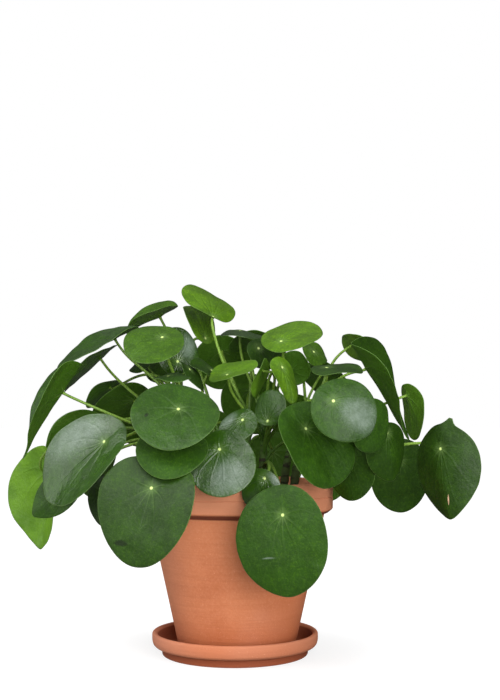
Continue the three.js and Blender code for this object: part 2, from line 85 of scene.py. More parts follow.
class Surface:
    """A node material in the making, with one short call for each kind of node it uses."""

    def __init__(self, name: str) -> None:
        """Start a material that holds one plain shader.

        Args:
            name: The material's name.
        """
        self.material = bpy.data.materials.new(name)
        self.material.use_nodes = True
        self.tree = self.material.node_tree
        self.shader = self.tree.nodes["Principled BSDF"]

    def node(
        self, kind: str, inputs: dict[int | str, Input] | None = None, **settings: object
    ) -> bpy.types.Node:
        """Add a node.

        Args:
            kind: The node's type.
            inputs: What each input is linked or set to.
            settings: The node's own properties.

        Returns:
            The new node.
        """
        made = self.tree.nodes.new(kind)
        for key, value in settings.items():
            setattr(made, key, value)
        for key, value in (inputs or {}).items():
            self.feed(made.inputs[key], value)
        return made

    def feed(self, socket: Socket, value: Input) -> None:
        """Link or set one input.

        Args:
            socket: The input.
            value: A socket to link, or a constant.
        """
        if isinstance(value, Socket):
            self.tree.links.new(value, socket)
        elif socket.type == "RGBA":
            socket.default_value = (*value, 1.0)
        else:
            socket.default_value = value

    def finish(self, **values: Input) -> Material:
        """Feed the shader.

        Args:
            values: The shader's inputs, with an underscore for each blank in a name.

        Returns:
            The finished material.
        """
        for key, value in values.items():
            self.feed(self.shader.inputs[key.replace("_", " ")], value)
        return self.material

    def maths(self, operation: str, *values: Input) -> Socket:
        """Combine numbers by one operation, and return the result's socket."""
        return self.node("ShaderNodeMath", dict(enumerate(values)), operation=operation).outputs[0]

    def times(self, first: Input, second: Input) -> Socket:
        """Multiply two numbers."""
        return self.maths("MULTIPLY", first, second)

    def length(self, across: Socket, along: Socket) -> Socket:
        """Give how far a place is from the middle, from its two coordinates."""
        return self.maths("SQRT", self.maths("MULTIPLY_ADD", across, across, self.times(along, along)))

    def fade(
        self, value: Input, start: float, stop: float, first: Input = 0.0, last: Input = 1.0
    ) -> Socket:
        """Turn a number's run from start to stop into a smooth run from first to last."""
        inputs = {0: value, 1: start, 2: stop, 3: first, 4: last}
        return self.node("ShaderNodeMapRange", inputs, interpolation_type="SMOOTHSTEP").outputs[0]

    def blend(self, share: Input, first: Input, second: Input, way: str = "MIX") -> Socket:
        """Mix two colours.

        Args:
            share: How much of the second colour shows.
            first: The first colour.
            second: The second colour.
            way: The blending mode.

        Returns:
            The mixed colour's socket.
        """
        made = self.node("ShaderNodeMix", data_type="RGBA", blend_type=way)
        for index, value in ((0, share), (6, first), (7, second)):
            self.feed(made.inputs[index], value)
        return made.outputs[2]

    def place(self, stretch: Place = (1.0, 1.0, 1.0)) -> Socket:
        """Give the piece's own coordinates, in metres, stretched along its axes."""
        source = self.node("ShaderNodeTexCoord").outputs["Object"]
        return self.node("ShaderNodeMapping", {"Vector": source, "Scale": stretch}).outputs[0]

    def attribute(self, name: str) -> tuple[Socket, Socket, Socket]:
        """Read the three numbers that every point of the mesh holds under a name."""
        source = self.node("ShaderNodeAttribute", attribute_name=name).outputs["Vector"]
        return self.split(source)

    def split(self, vector: Socket) -> tuple[Socket, Socket, Socket]:
        """Split coordinates into three numbers."""
        return tuple(self.node("ShaderNodeSeparateXYZ", {0: vector}).outputs)

    def joined(self, *values: Input) -> Socket:
        """Join three numbers into coordinates."""
        return self.node("ShaderNodeCombineXYZ", dict(enumerate(values))).outputs[0]

    def grain(self, where: Socket, kind: Noise) -> Socket:
        """Give cloudy noise of one kind, about 0 to 1."""
        inputs = {"Vector": where, **dict(zip(("Scale", "Detail", "Roughness"), kind))}
        return self.node("ShaderNodeTexNoise", inputs).outputs[0]

    def cells(self, where: Socket, scale: float) -> Socket:
        """Give how far a place is from the nearest border of a pattern of cells."""
        inputs = {"Vector": where, "Scale": scale}
        return self.node("ShaderNodeTexVoronoi", inputs, feature="DISTANCE_TO_EDGE").outputs["Distance"]

    def relief(self, height: Input, depth: float, under: Input | None = None) -> Socket:
        """Turn a height pattern into a change of the surface's slope.

        Args:
            height: The pattern, about 0 to 1.
            depth: How high the pattern stands, in metres.
            under: An earlier change that this one adds to.

        Returns:
            The slope's socket.
        """
        inputs = {"Height": height, "Distance": depth, "Strength": 1.0}
        if under is not None:
            inputs["Normal"] = under
        return self.node("ShaderNodeBump", inputs).outputs[0]


# Round pieces


def spin(made: Mesh, shift: float, steps: int, gap: float) -> None:
    """Turn a profile right round an upright axis and close the seam and the poles.

    Args:
        made: The mesh that holds the profile.
        shift: How far the axis stands to the right of the middle.
        steps: How many steps the turn takes.
        gap: How close two points are that become one.
    """
    bmesh.ops.spin(
        made,
        geom=made.verts[:] + made.edges[:],
        cent=(shift, 0.0, 0.0),
        axis=UP,
        angle=FULL_TURN,
        steps=steps,
        use_merge=True,
    )
    bmesh.ops.remove_doubles(made, verts=made.verts, dist=gap)


@dataclass(frozen=True)
class Corner:
    """One corner of a turned profile: its radius, its height and how far it is rounded."""

    radius: float
    height: float
    rounding: float = 0.0


@dataclass(frozen=True)
class Turning:
    """A round piece turned about an upright axis from a profile of corners."""

    corners: Sequence[Corner]
    shift: float = 0.0
    steps: int = 160
    segments: int = 4
    closed: bool = False

    def build(self) -> Mesh:
        """Round the corners and turn the profile.

        Returns:
            The piece as one closed mesh.
        """
        made = bmesh.new()
        points = [made.verts.new((self.shift + c.radius, 0.0, c.height)) for c in self.corners]
        pairs = list(zip(points, points[1:]))
        if self.closed:
            pairs.append((points[-1], points[0]))
        for pair in pairs:
            made.edges.new(pair)
        for corner, point in zip(self.corners, points):
            if corner.rounding:
                bmesh.ops.bevel(
                    made,
                    geom=[point],
                    offset=corner.rounding,
                    segments=self.segments,
                    profile=0.5,
                    affect="VERTICES",
                    material=-1,
                )
        spin(made, self.shift, self.steps, TINY)
        bmesh.ops.recalc_face_normals(made, faces=made.faces)
        return made


class Piece:
    """A finished piece of the object: it rides on the part and stands for its CAD nodes."""

    @staticmethod
    def place(
        name: str,
        shape: Mesh,
        finishes: Sequence[Material],
        nodes: Sequence[str],
        slot: str,
    ) -> bpy.types.Object:
        """Make the object, dress it and tie it to the frame.

        Args:
            name: The piece's name.
            shape: Its mesh, which is used up.
            finishes: Its materials.
            nodes: The CAD nodes that it stands for.
            slot: The record's material slot; it is not used.

        Returns:
            The new object.
        """
        for face in shape.faces:
            face.smooth = True
        mesh = bpy.data.meshes.new(name)
        shape.to_mesh(mesh)
        shape.free()
        for finish in finishes:
            mesh.materials.append(finish)
        made = bpy.data.objects.new(name, mesh)
        bpy.context.scene.collection.objects.link(made)
        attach(made, "root")
        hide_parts(*nodes)
        log.info("%s: %d faces", name, len(mesh.polygons))
        return made


@dataclass(frozen=True)
class TerracottaFinish:
    """Dry fired clay: clouded orange with fine pale specks, turning marks and paler edges."""

    name: str
    clay: Colour = (0.66, 0.222, 0.096)
    dark: Colour = (0.56, 0.170, 0.068)
    pale: Colour = (0.76, 0.33, 0.19)
    bloom: Colour = (0.68, 0.29, 0.18)
    # Painted shade and light: the clay darkens towards the bottom and on the right-hand side, and pales
    # on the left-hand side and on the collar's face
    damp_and_shade: Colour = (0.44, 0.105, 0.030)
    low_shade_height: float = 0.062
    right_shade_share: float = 0.35
    left_light_share: float = 0.6
    shade: Colour = (0.13, 0.026, 0.010)
    shaded_heights: Pair = (0.1243, 0.1290)
    shaded_share: float = 0.9
    collar_height: float = 0.129
    collar_light: float = 0.5
    well_radius: float = 0.0
    well_height: float = 0.0185
    well_share: float = 0.75
    under_edge: Pair = (-0.0008, 0.0004)
    over_edge: float = 0.0016
    wall_edge: Pair = (-0.0006, 0.0004)
    well_edge: float = 0.0015
    collar_edge: float = 0.001
    clouds: Noise = (16, 5, 0.55)
    cloud_run: Run = (0.3, 0.6)
    turned: Noise = (9, 4, 0.5)
    turned_run: Run = (0.45, 0.75, 0.0, 0.35)
    turned_stretch: Place = (1.0, 1.0, 26.0)
    turned_depth: float = 0.0006
    blooms: Noise = (11, 3, 0.5)
    bloom_run: Run = (0.56, 0.75, 0.0, 0.5)
    mottles: Noise = (420, 4, 0.7)
    mottle_run: Run = (0.35, 0.75, 0.0, 0.3)
    mottle_depth: float = 0.00022
    specks: Noise = (850, 1, 0.5)
    speck_run: Run = (0.70, 0.75, 0.0, 0.6)
    edge_run: Run = (0.51, 0.58, 0.0, 0.55)
    rough_run: Run = (0.3, 0.7, 0.74, 0.92)
    frayed_height: float = 0.03
    frayed_side: float = 0.02
    low_shade_start: float = 0.02
    low_shade_share: float = 0.75
    right_side: Pair = (0.01, 0.07)
    left_side: Pair = (-0.07, -0.02)

    def shaded(self, clay: Surface, where: Socket) -> Socket:
        """Show where painted shade darkens the clay: under an edge and inside a saucer.

        Args:
            clay: The material in the making.
            where: The piece's coordinates.

        Returns:
            The share of the dark colour.
        """
        across, deep, height = clay.split(where)
        low, high = self.shaded_heights
        under = clay.fade(height, *(low + edge for edge in self.under_edge))
        over = clay.fade(height, high - self.over_edge, high, self.shaded_share, 0.0)
        wall = (self.well_radius + edge for edge in self.wall_edge)
        inside = clay.fade(clay.length(across, deep), *wall, self.well_share, 0.0)
        well = clay.fade(height, self.well_height - self.well_edge, self.well_height, 1.0, 0.0)
        return clay.maths("MAXIMUM", clay.times(under, over), clay.times(inside, well))

    def material(self) -> Material:
        """Build the clay.

        Returns:
            The material.
        """
        clay = Surface(self.name)
        where = clay.place()
        across, _, height = clay.split(where)
        cloud = clay.grain(where, self.clouds)
        turning = clay.grain(clay.place(self.turned_stretch), self.turned)
        mottle = clay.grain(where, self.mottles)
        speck = clay.grain(where, self.specks)
        colour = clay.blend(clay.fade(cloud, *self.cloud_run), self.dark, self.clay)
        colour = clay.blend(clay.fade(turning, *self.turned_run), colour, self.dark)
        bloom = clay.fade(clay.grain(where, self.blooms), *self.bloom_run)
        colour = clay.blend(bloom, colour, self.bloom)
        colour = clay.blend(clay.fade(mottle, *self.mottle_run), colour, self.pale)
        # Painted shade: the clay darkens towards its foot, with a ragged edge
        ragged = clay.maths("MULTIPLY_ADD", cloud, self.frayed_height, height)
        damp_and_shade = clay.fade(ragged, self.low_shade_start, self.low_shade_height, self.low_shade_share, 0.0)
        colour = clay.blend(damp_and_shade, colour, self.damp_and_shade)
        side = clay.maths("MULTIPLY_ADD", cloud, self.frayed_side, across)
        # Painted shade: the right-hand side darkens as it turns from the light
        colour = clay.blend(clay.fade(side, *self.right_side, 0.0, self.right_shade_share), colour, self.damp_and_shade)
        # Painted light: the left-hand side pales where the light falls on it
        colour = clay.blend(clay.fade(side, *self.left_side, self.left_light_share, 0.0), colour, self.bloom)
        colour = clay.blend(clay.fade(speck, *self.speck_run), colour, self.pale)
        # Painted light: the collar's face above its lower edge is paler, where the light falls on it
        seam = self.collar_height
        collar = clay.fade(height, seam, seam + self.collar_edge, 0.0, self.collar_light)
        colour = clay.blend(collar, colour, self.pale)
        colour = clay.blend(self.shaded(clay, where), colour, self.shade)
        edge = clay.node("ShaderNodeNewGeometry").outputs["Pointiness"]
        colour = clay.blend(clay.fade(edge, *self.edge_run), colour, self.pale)
        slope = clay.relief(turning, self.turned_depth)
        slope = clay.relief(mottle, self.mottle_depth, slope)
        rough = clay.fade(mottle, *self.rough_run)
        return clay.finish(Base_Color=colour, Roughness=rough, Normal=slope, Specular_IOR_Level=0.3)


@dataclass(frozen=True)
class SoilFinish:
    """Moist potting soil: nearly black, with brown bark and paler dry crumbs."""

    name: str = "potting_soil"
    damp_and_shade: Colour = (0.010, 0.006, 0.004)
    brown: Colour = (0.045, 0.024, 0.013)
    dry: Colour = (0.13, 0.085, 0.05)
    clods: Noise = (120, 5, 0.65)
    clod_run: Run = (0.38, 0.66)
    clod_depth: float = 0.004
    grit: Noise = (700, 3, 0.7)
    grit_run: Run = (0.62, 0.74, 0.0, 0.8)
    grit_depth: float = 0.0009

    def material(self) -> Material:
        """Build the soil.

        Returns:
            The material.
        """
        earth = Surface(self.name)
        where = earth.place()
        clods = earth.grain(where, self.clods)
        grit = earth.grain(where, self.grit)
        colour = earth.blend(earth.fade(clods, *self.clod_run), self.damp_and_shade, self.brown)
        colour = earth.blend(earth.fade(grit, *self.grit_run), colour, self.dry)
        slope = earth.relief(clods, self.clod_depth)
        slope = earth.relief(grit, self.grit_depth, slope)
        return earth.finish(Base_Color=colour, Roughness=0.95, Normal=slope, Specular_IOR_Level=0.25)


@dataclass(frozen=True)
class Veins:
    """The main veins of a blade, which fan out from its joint and arch towards its tip.

    They are the same on both halves, and each is given by its angle from the midrib in
    radians and by how much of that angle it loses on its way to the margin.
    """

    angles: tuple[float, ...] = (0.0, 0.80, 1.55, 2.35, math.pi)
    arching: tuple[float, ...] = (0.0, 0.42, 0.34, 0.16, 0.0)
    sway: float = 0.10
    sway_turns: float = 5.0

    def distance(self, share: float, angle: float, seed: float) -> float:
        """Measure how far a place on the blade is from the nearest vein.

        Args:
            share: How far out the place is, from 0 at the joint to 1 at the margin.
            angle: Its direction from the midrib.
            seed: The blade's own number, which sways its veins.

        Returns:
            The distance, as a share of the blade's reach.
        """
        turned = abs(angle + self.sway * math.sin(self.sway_turns * share + seed))
        gaps = (abs(turned - a * (1 - k * share)) for a, k in zip(self.angles, self.arching))
        return min(gaps) * share

    def pattern(self, leaf: Surface, share: Socket, angle: Socket, seed: Socket) -> Socket:
        """Give the same distance as a node pattern.

        Args:
            leaf: The material in the making.
            share: How far out the place is.
            angle: Its direction from the midrib.
            seed: The blade's own number.

        Returns:
            The distance's socket.
        """
        wave = leaf.maths("SINE", leaf.maths("MULTIPLY_ADD", share, self.sway_turns, seed))
        turned = leaf.maths("ABSOLUTE", leaf.maths("MULTIPLY_ADD", wave, self.sway, angle))
        nearest: Input = 1.0
        for start, arching in zip(self.angles, self.arching):
            way = leaf.maths("MULTIPLY_ADD", share, -start * arching, start)
            gap = leaf.maths("ABSOLUTE", leaf.maths("SUBTRACT", turned, way))
            nearest = leaf.maths("MINIMUM", nearest, gap)
        return leaf.times(nearest, share)


VEINS = Veins()


@dataclass(frozen=True)
class LeafFinish:
    """A fleshy blade: satin green above with paler veins, matt yellow-green below, a pale rim."""

    name: str = "leaf"
    deep: Colour = (0.017, 0.052, 0.002)
    grown: Colour = (0.022, 0.070, 0.003)
    young: Colour = (0.140, 0.300, 0.010)
    below: Colour = (0.055, 0.150, 0.005)
    below_dark: Colour = (0.030, 0.090, 0.004)
    below_lit: Colour = (0.130, 0.280, 0.012)
    vein: Colour = (0.16, 0.27, 0.07)
    rim: Colour = (0.12, 0.22, 0.05)
    joint: Colour = (0.62, 0.78, 0.26)
    patch: Colour = (0.70, 0.72, 0.66)
    cloud: Colour = (1.35, 1.25, 1.1)
    fleck: Colour = (1.75, 1.55, 0.9)
    bruise: Colour = (0.008, 0.020, 0.002)
    dry: Colour = (0.66, 0.42, 0.27)
    sheen: Colour = (0.145, 0.195, 0.145)
    sheen_reach: Run = (0.8, 1.95, 1.0, 0.0)
    joint_run: Run = (0.00077, 0.00165, 1.0, 0.0)
    halo_run: Run = (0.0011, 0.008, 1.0, 0.0)
    grown_tones: Run = (0.0, 0.5)
    young_tones: Run = (0.4, 1.0)
    lit_tones: Run = (0.3, 0.9)
    patches: Noise = (55, 5, 0.65)
    patch_run: Run = (0.36, 0.64)
    clouds: Noise = (170, 3, 0.6)
    cloud_run: Run = (0.42, 0.66, 0.0, 0.5)
    flecks: Noise = (520, 2, 0.7)
    fleck_run: Run = (0.52, 0.66, 0.0, 0.7)
    line_run: Run = (0.002, 0.012, 1.0, 0.0)
    line_fading: Run = (0.03, 0.42, 1.0, 0.06)
    mesh_scale: float = 7.0
    mesh_run: Run = (0.0, 0.05, 1.0, 0.0)
    above_shares: Place = (0.05, 0.26, 0.3)
    below_shares: Pair = (0.2, 0.8)
    shades: Noise = (60, 4, 0.5)
    lights: Noise = (42, 4, 0.6)
    light_run: Run = (0.35, 0.65, 0.45, 1.0)
    sheens: Noise = (150, 5, 0.75)
    sheen_run: Run = (0.3, 0.7, 0.55, 1.0)
    fraying: Noise = (900, 2, 0.7)
    mark_run: Run = (1.1, 1.5, 1.0, 0.0)
    painted_sheen_run: Run = (-1.0, -0.5, 1.0, 0.0)
    rim_run: Run = (0.35, 0.9, 0.8, 0.0)
    face_run: Run = (-0.3, 0.3)
    crest_run: Run = (0.3, 0.9)
    groove_run: Run = (0.0, 0.05)
    vein_depth: float = 0.00026
    wrinkles: Noise = (1.0, 4, 0.6)
    wrinkle_stretch: Pair = (5.0, 3.0)
    wrinkle_share: float = 0.7
    calm_run: Run = (0.1, 0.8, 1.0, 0.35)
    grains: Noise = (330, 3, 0.6)
    grain_depth: float = 0.00052
    pores: Noise = (1000, 2, 0.5)
    pore_depth: float = 0.00007
    glosses: Noise = (30, 3, 0.5)
    rough_run: Run = (0.3, 0.7, 0.23, 0.33)
    matt: Place = (0.2, 0.28, 0.0)
    shine: Place = (0.3, 0.12, 0.6)

    def upper(self, leaf: Surface, tone: Socket, where: Socket) -> Socket:
        """Colour the upper face.

        Args:
            leaf: The material in the making.
            tone: How fresh the blade's green is.
            where: The piece's coordinates.

        Returns:
            The colour's socket.
        """
        # Painted shade and light: the darkest tone gives leaves deep in shadow a darker green, and SUNLIT
        # gives a lit leaf the palest
        colour = leaf.blend(leaf.fade(tone, *self.grown_tones), self.deep, self.grown)
        colour = leaf.blend(leaf.fade(tone, *self.young_tones), colour, self.young)
        patches = leaf.fade(leaf.grain(where, self.patches), *self.patch_run)
        colour = leaf.blend(patches, leaf.blend(1.0, colour, self.patch, "MULTIPLY"), colour)
        clouds = leaf.fade(leaf.grain(where, self.clouds), *self.cloud_run)
        colour = leaf.blend(clouds, colour, leaf.blend(1.0, colour, self.cloud, "MULTIPLY"))
        flecks = leaf.fade(leaf.grain(where, self.flecks), *self.fleck_run)
        return leaf.blend(flecks, colour, leaf.blend(1.0, colour, self.fleck, "MULTIPLY"))

    def material(self) -> Material:
        """Build the leaf.

        Returns:
            The material.
        """
        leaf = Surface(self.name)
        where = leaf.place()
        across, along, reach = leaf.attribute("disc")
        layer, seed, tone = leaf.attribute("growth")
        share = leaf.length(across, along)
        angle = leaf.maths("ARCTAN2", along, across)
        away = VEINS.pattern(leaf, share, angle, seed)
        line = leaf.times(leaf.fade(away, *self.line_run), leaf.fade(share, *self.line_fading))
        mesh = leaf.fade(leaf.cells(leaf.joined(across, along, seed), self.mesh_scale), *self.mesh_run)
        halo = leaf.fade(reach, *self.halo_run)
        above = self.upper(leaf, tone, where)
        for pattern, strength in zip((mesh, line, halo), self.above_shares):
            above = leaf.blend(leaf.times(pattern, strength), above, self.vein)
        above = leaf.blend(leaf.fade(reach, *self.joint_run), above, self.joint)
        long, wide, dryness = leaf.attribute("mark")
        off = leaf.maths("ADD", leaf.length(long, wide), leaf.grain(where, self.fraying))
        painted_sheen = leaf.fade(dryness, *self.painted_sheen_run)
        marked = leaf.times(leaf.fade(off, *self.mark_run), leaf.maths("SUBTRACT", 1.0, painted_sheen))
        above = leaf.blend(marked, above, leaf.blend(dryness, self.bruise, self.dry))
        below = leaf.blend(leaf.grain(where, self.shades), self.below_dark, self.below)
        lit = leaf.fade(leaf.grain(where, self.lights), *self.light_run)
        below = leaf.blend(leaf.times(leaf.fade(tone, *self.lit_tones), lit), below, self.below_lit)
        for pattern, strength in zip((mesh, line), self.below_shares):
            below = leaf.blend(leaf.times(pattern, strength), below, self.vein)
        colour = leaf.blend(leaf.fade(layer, *self.face_run), below, above)
        colour = leaf.blend(leaf.fade(leaf.maths("ABSOLUTE", layer), *self.rim_run), colour, self.rim)
        # Painted highlight: pale sheen on the upper face where a mark of dryness -1 lies
        gleam = leaf.times(leaf.fade(off, *self.sheen_reach), painted_sheen)
        gleam = leaf.times(gleam, leaf.fade(leaf.grain(where, self.sheens), *self.sheen_run))
        colour = leaf.blend(leaf.times(gleam, leaf.fade(layer, *self.crest_run)), colour, self.sheen)
        fan, out = self.wrinkle_stretch
        ways = leaf.joined(leaf.times(leaf.maths("ABSOLUTE", angle), fan), leaf.times(share, out), seed)
        grooves = leaf.fade(away, *self.groove_run)
        wrinkles = leaf.grain(ways, self.wrinkles)
        height = leaf.maths("MULTIPLY_ADD", wrinkles, self.wrinkle_share, grooves)
        slope = leaf.relief(leaf.times(height, leaf.fade(share, *self.calm_run)), self.vein_depth)
        slope = leaf.relief(leaf.grain(where, self.grains), self.grain_depth, slope)
        slope = leaf.relief(leaf.grain(where, self.pores), self.pore_depth, slope)
        wax = leaf.node("ShaderNodeAttribute", attribute_name="wax").outputs["Fac"]
        under, dull, glossy = self.matt
        matt = leaf.fade(layer, *self.face_run, under, leaf.fade(wax, 0.0, 1.0, dull, glossy))
        rough = leaf.maths("ADD", leaf.fade(leaf.grain(where, self.glosses), *self.rough_run), matt)
        under, dull, glossy = self.shine
        shine = leaf.fade(layer, *self.face_run, under, leaf.fade(wax, 0.0, 1.0, dull, glossy))
        return leaf.finish(
            Base_Color=colour, Roughness=rough, Normal=slope, Specular_IOR_Level=shine
        )


@dataclass(frozen=True)
class StemFinish:
    """Smooth yellow-green petioles, on a trunk that is brown and scarred towards the soil."""

    name: str = "stem"
    base: Colour = (0.055, 0.13, 0.015)
    fresh: Colour = (0.215, 0.36, 0.05)
    bark: Colour = (0.050, 0.070, 0.018)
    scar: Colour = (0.026, 0.026, 0.010)
    streak_shade: Colour = (0.6, 0.68, 0.5)
    fresh_run: Run = (0.0, 0.55)
    wood_run: Run = (0.3, 1.0)
    rough_run: Run = (0.0, 1.0, 0.42, 0.8)
    streaks: Noise = (700, 2, 0.5)
    streak_run: Run = (0.35, 0.65)
    streak_stretch: Place = (1.0, 1.0, 0.25)
    streak_depth: float = 0.0002
    scars: Noise = (90, 3, 0.5)
    scar_run: Run = (0.5, 0.62)
    scar_stretch: Place = (1.0, 1.0, 3.0)
    scar_depth: float = 0.0007

    def material(self) -> Material:
        """Build the stem.

        Returns:
            The material.
        """
        stem = Surface(self.name)
        along, _, trunk = stem.attribute("growth")
        streaks = stem.grain(stem.place(self.streak_stretch), self.streaks)
        colour = stem.blend(stem.fade(along, *self.fresh_run), self.base, self.fresh)
        shaded = stem.blend(1.0, colour, self.streak_shade, "MULTIPLY")
        colour = stem.blend(stem.fade(streaks, *self.streak_run), shaded, colour)
        scars = stem.fade(stem.grain(stem.place(self.scar_stretch), self.scars), *self.scar_run)
        wood = stem.blend(stem.fade(along, *self.wood_run), self.bark, self.base)
        colour = stem.blend(trunk, colour, stem.blend(scars, wood, self.scar))
        slope = stem.relief(streaks, self.streak_depth)
        slope = stem.relief(stem.times(scars, trunk), self.scar_depth, slope)
        rough = stem.fade(trunk, *self.rough_run)
        return stem.finish(Base_Color=colour, Roughness=rough, Normal=slope, Specular_IOR_Level=0.35)


# Terracotta and soil


@dataclass(frozen=True)
class Saucer:
    """The saucer: a recessed foot, an upright rounded wall and a flat floor inside."""

    radius: float = 0.0735
    height: float = 0.020
    foot_radius: float = 0.0645
    foot_height: float = 0.0065
    wall: float = 0.0045
    floor: float = 0.006
    foot_flare: float = 0.0006
    chamfer: float = 0.0022
    chamfer_heights: Pair = (0.0012, 0.0052)
    rim: float = 0.0021

    def build(self, clay: Material) -> bpy.types.Object:
        """Turn the saucer.

        Args:
            clay: Its finish.

        Returns:
            The piece.
        """
        inside = self.radius - self.wall
        under, side = (self.foot_height + rise for rise in self.chamfer_heights)
        corners = (
            Corner(0.0, 0.0),
            Corner(self.foot_radius, 0.0, 0.0012),
            Corner(self.foot_radius + self.foot_flare, self.foot_height, 0.0008),
            Corner(self.radius - self.chamfer, under, 0.0024),
            Corner(self.radius, side, 0.003),
            Corner(self.radius, self.height, self.rim),
            Corner(inside, self.height, self.rim),
            Corner(inside - self.chamfer, self.floor, 0.005),
            Corner(0.0, self.floor),
        )
        shape = Turning(corners).build()
        return Piece.place("saucer_turned", shape, [clay], ["saucer"], "saucer_terracotta")


@dataclass(frozen=True)
class Pot:
    """The pot: a tapering body with a drain hole under a heavy collar with one fine groove."""

    shift: float = 0.0017
    bottom: float = 0.0063
    top: float = 0.153
    base_radius: float = 0.0515
    collar_radius: float = 0.085
    collar_height: float = 0.024
    collar_taper: float = 0.0045
    undercut: float = 0.004
    body_top_radius: float = 0.0776
    wall: float = 0.007
    floor: float = 0.008
    drain_radius: float = 0.008
    groove_drop: float = 0.013
    groove_depth: float = 0.0007
    groove_width: float = 0.0014
    edge: float = 0.0016
    lip_rise: float = 0.0004
    floor_spread: float = 0.0015

    def build(self, clay: Material) -> bpy.types.Object:
        """Turn the pot.

        Args:
            clay: Its finish.

        Returns:
            The piece.
        """
        collar_low = self.top - self.collar_height
        shoulder = collar_low - self.undercut
        groove = self.top - self.groove_drop
        inside = self.collar_radius - self.wall
        half = self.groove_width / 2
        corners = (
            Corner(self.drain_radius, self.bottom, 0.001),
            Corner(self.base_radius, self.bottom, 0.0015),
            Corner(self.body_top_radius, shoulder, 0.0006),
            Corner(self.collar_radius - self.collar_taper, shoulder + self.lip_rise, 0.0008),
            Corner(self.collar_radius, collar_low, 0.0012),
            Corner(self.collar_radius, groove - half, 0.0003),
            Corner(self.collar_radius - self.groove_depth, groove, 0.0003),
            Corner(self.collar_radius, groove + half, 0.0003),
            Corner(self.collar_radius, self.top, self.edge),
            Corner(inside, self.top, self.edge),
            Corner(self.body_top_radius - self.wall, shoulder, 0.003),
            Corner(self.base_radius - self.wall + self.floor_spread, self.bottom + self.floor, 0.004),
            Corner(self.drain_radius, self.bottom + self.floor, 0.001),
        )
        shape = Turning(corners, self.shift, closed=True).build()
        return Piece.place("pot_turned", shape, [clay], ["pot"], "terracotta")


@dataclass(frozen=True)
class Soil:
    """The soil: it fills the pot up to an uneven, crumbly surface."""

    shift: float = 0.0017
    low: float = 0.0146
    base_radius: float = 0.0452
    bend: float = 0.125
    upper_radius: float = 0.0698
    top: float = 0.139
    swell: float = 0.0014
    rings: int = 34
    crumbs: int = 420
    crumb_size: Pair = (0.0007, 0.0026)
    swell_scale: float = 45
    crumble: float = 0.0007
    crumble_scale: float = 260
    crumble_slice: float = 0.3
    crumble_layers: tuple[float, float, int] = (0.8, 2.0, 3)
    rim_gap: float = 0.0004
    margin: float = 0.003
    steps: int = 120
    crumb_seed: int = 11
    crumb_flatness: Pair = (0.4, 0.9)
    crumb_width: Pair = (0.5, 1.0)
    crumb_tilt: float = 0.6
    crumb_turn: float = 3
    crumb_lift: float = 0.2

    def height(self, x: float, y: float) -> float:
        """Give the surface's height.

        Args:
            x: The place across.
            y: The place in depth.

        Returns:
            The height, in metres.
        """
        broad = noise.noise(Vector((x, y, 0.0)) * self.swell_scale)
        deep = Vector((x, y, self.crumble_slice)) * self.crumble_scale
        fine = noise.fractal(deep, *self.crumble_layers)
        return self.top + self.swell * broad + self.crumble * fine

    def build(self, earth: Material) -> bpy.types.Object:
        """Turn the body, roughen its surface and strew crumbs on it.

        Args:
            earth: Its finish.

        Returns:
            The piece.
        """
        rim = self.upper_radius + self.rim_gap
        corners = [Corner(0.0, self.low), Corner(self.base_radius, self.low)]
        corners.append(Corner(self.upper_radius, self.bend))
        corners += [Corner(rim * (1 - i / self.rings), self.top) for i in range(self.rings + 1)]
        shape = Turning(corners, self.shift, self.steps).build()
        for point in shape.verts:
            if point.co.z > self.top - TINY:
                point.co.z = self.height(point.co.x, point.co.y)
        draw = random.Random(self.crumb_seed)
        for _ in range(self.crumbs):
            distance = (rim - self.margin) * math.sqrt(draw.random())
            turn = draw.uniform(0, FULL_TURN)
            x = self.shift + distance * math.cos(turn)
            y = distance * math.sin(turn)
            size = draw.uniform(*self.crumb_size)
            flat = draw.uniform(*self.crumb_flatness)
            tilt = Matrix.Rotation(draw.uniform(-self.crumb_tilt, self.crumb_tilt), 4, "X")
            tilt = tilt @ Matrix.Rotation(draw.uniform(0, self.crumb_turn), 4, "Z")
            height = self.height(x, y) + size * flat * self.crumb_lift
            spot = Matrix.Translation((x, y, height))
            stretch = Matrix.Diagonal((1.0, draw.uniform(*self.crumb_width), flat, 1.0))
            turned = spot @ tilt @ stretch
            bmesh.ops.create_icosphere(shape, subdivisions=1, radius=size, matrix=turned)
        return Piece.place("soil_crumbly", shape, [earth], ["soil"], "soil")


# Plant


@dataclass(frozen=True)
class Leaf:
    """One leaf: where its joint is, how its blade faces, and the blade's outline and bends.

    face is (turn, lift, roll) in degrees: turn carries the upper side from the front (-Y)
    towards +X, lift tips it upwards, and roll swings the tip from straight downhill. bend is
    how far the blade droops over its length and curls over its width, and fold lifts its
    halves about the midrib. rise, via and bow steer the petiole. beak is the direction, in
    degrees from the tip, in which the margin runs out into a small point. wax is how glossy
    the upper side is, from 0 to 1.
    """

    name: str
    at: Place
    face: Place
    size: Pair
    bend: Pair = (20, 14)
    fold: float = 0
    egg: float = 0.07
    point: float = 0
    base: float = 0.3
    rise: float = 0.5
    via: Place | None = None
    bow: Place = (0.0, 0.0, 0.0)
    tone: Tone = Tone.GROWN
    wax: float = 0.35
    beak: float = 0

    def frame(self) -> tuple[Vector, Vector, Vector]:
        """Give the blade's directions.

        Returns:
            The normal of its upper side, the way to its tip and the way to its side.
        """
        turn, lift, roll = (math.radians(value) for value in self.face)
        level_part = Vector((math.sin(turn), -math.cos(turn), 0.0))
        normal = level_part * math.cos(lift) + UP * math.sin(lift)
        downhill = level_part * math.sin(lift) - UP * math.cos(lift)
        tip = downhill * math.cos(roll) + downhill.cross(normal) * math.sin(roll)
        return normal, tip, normal.cross(tip)


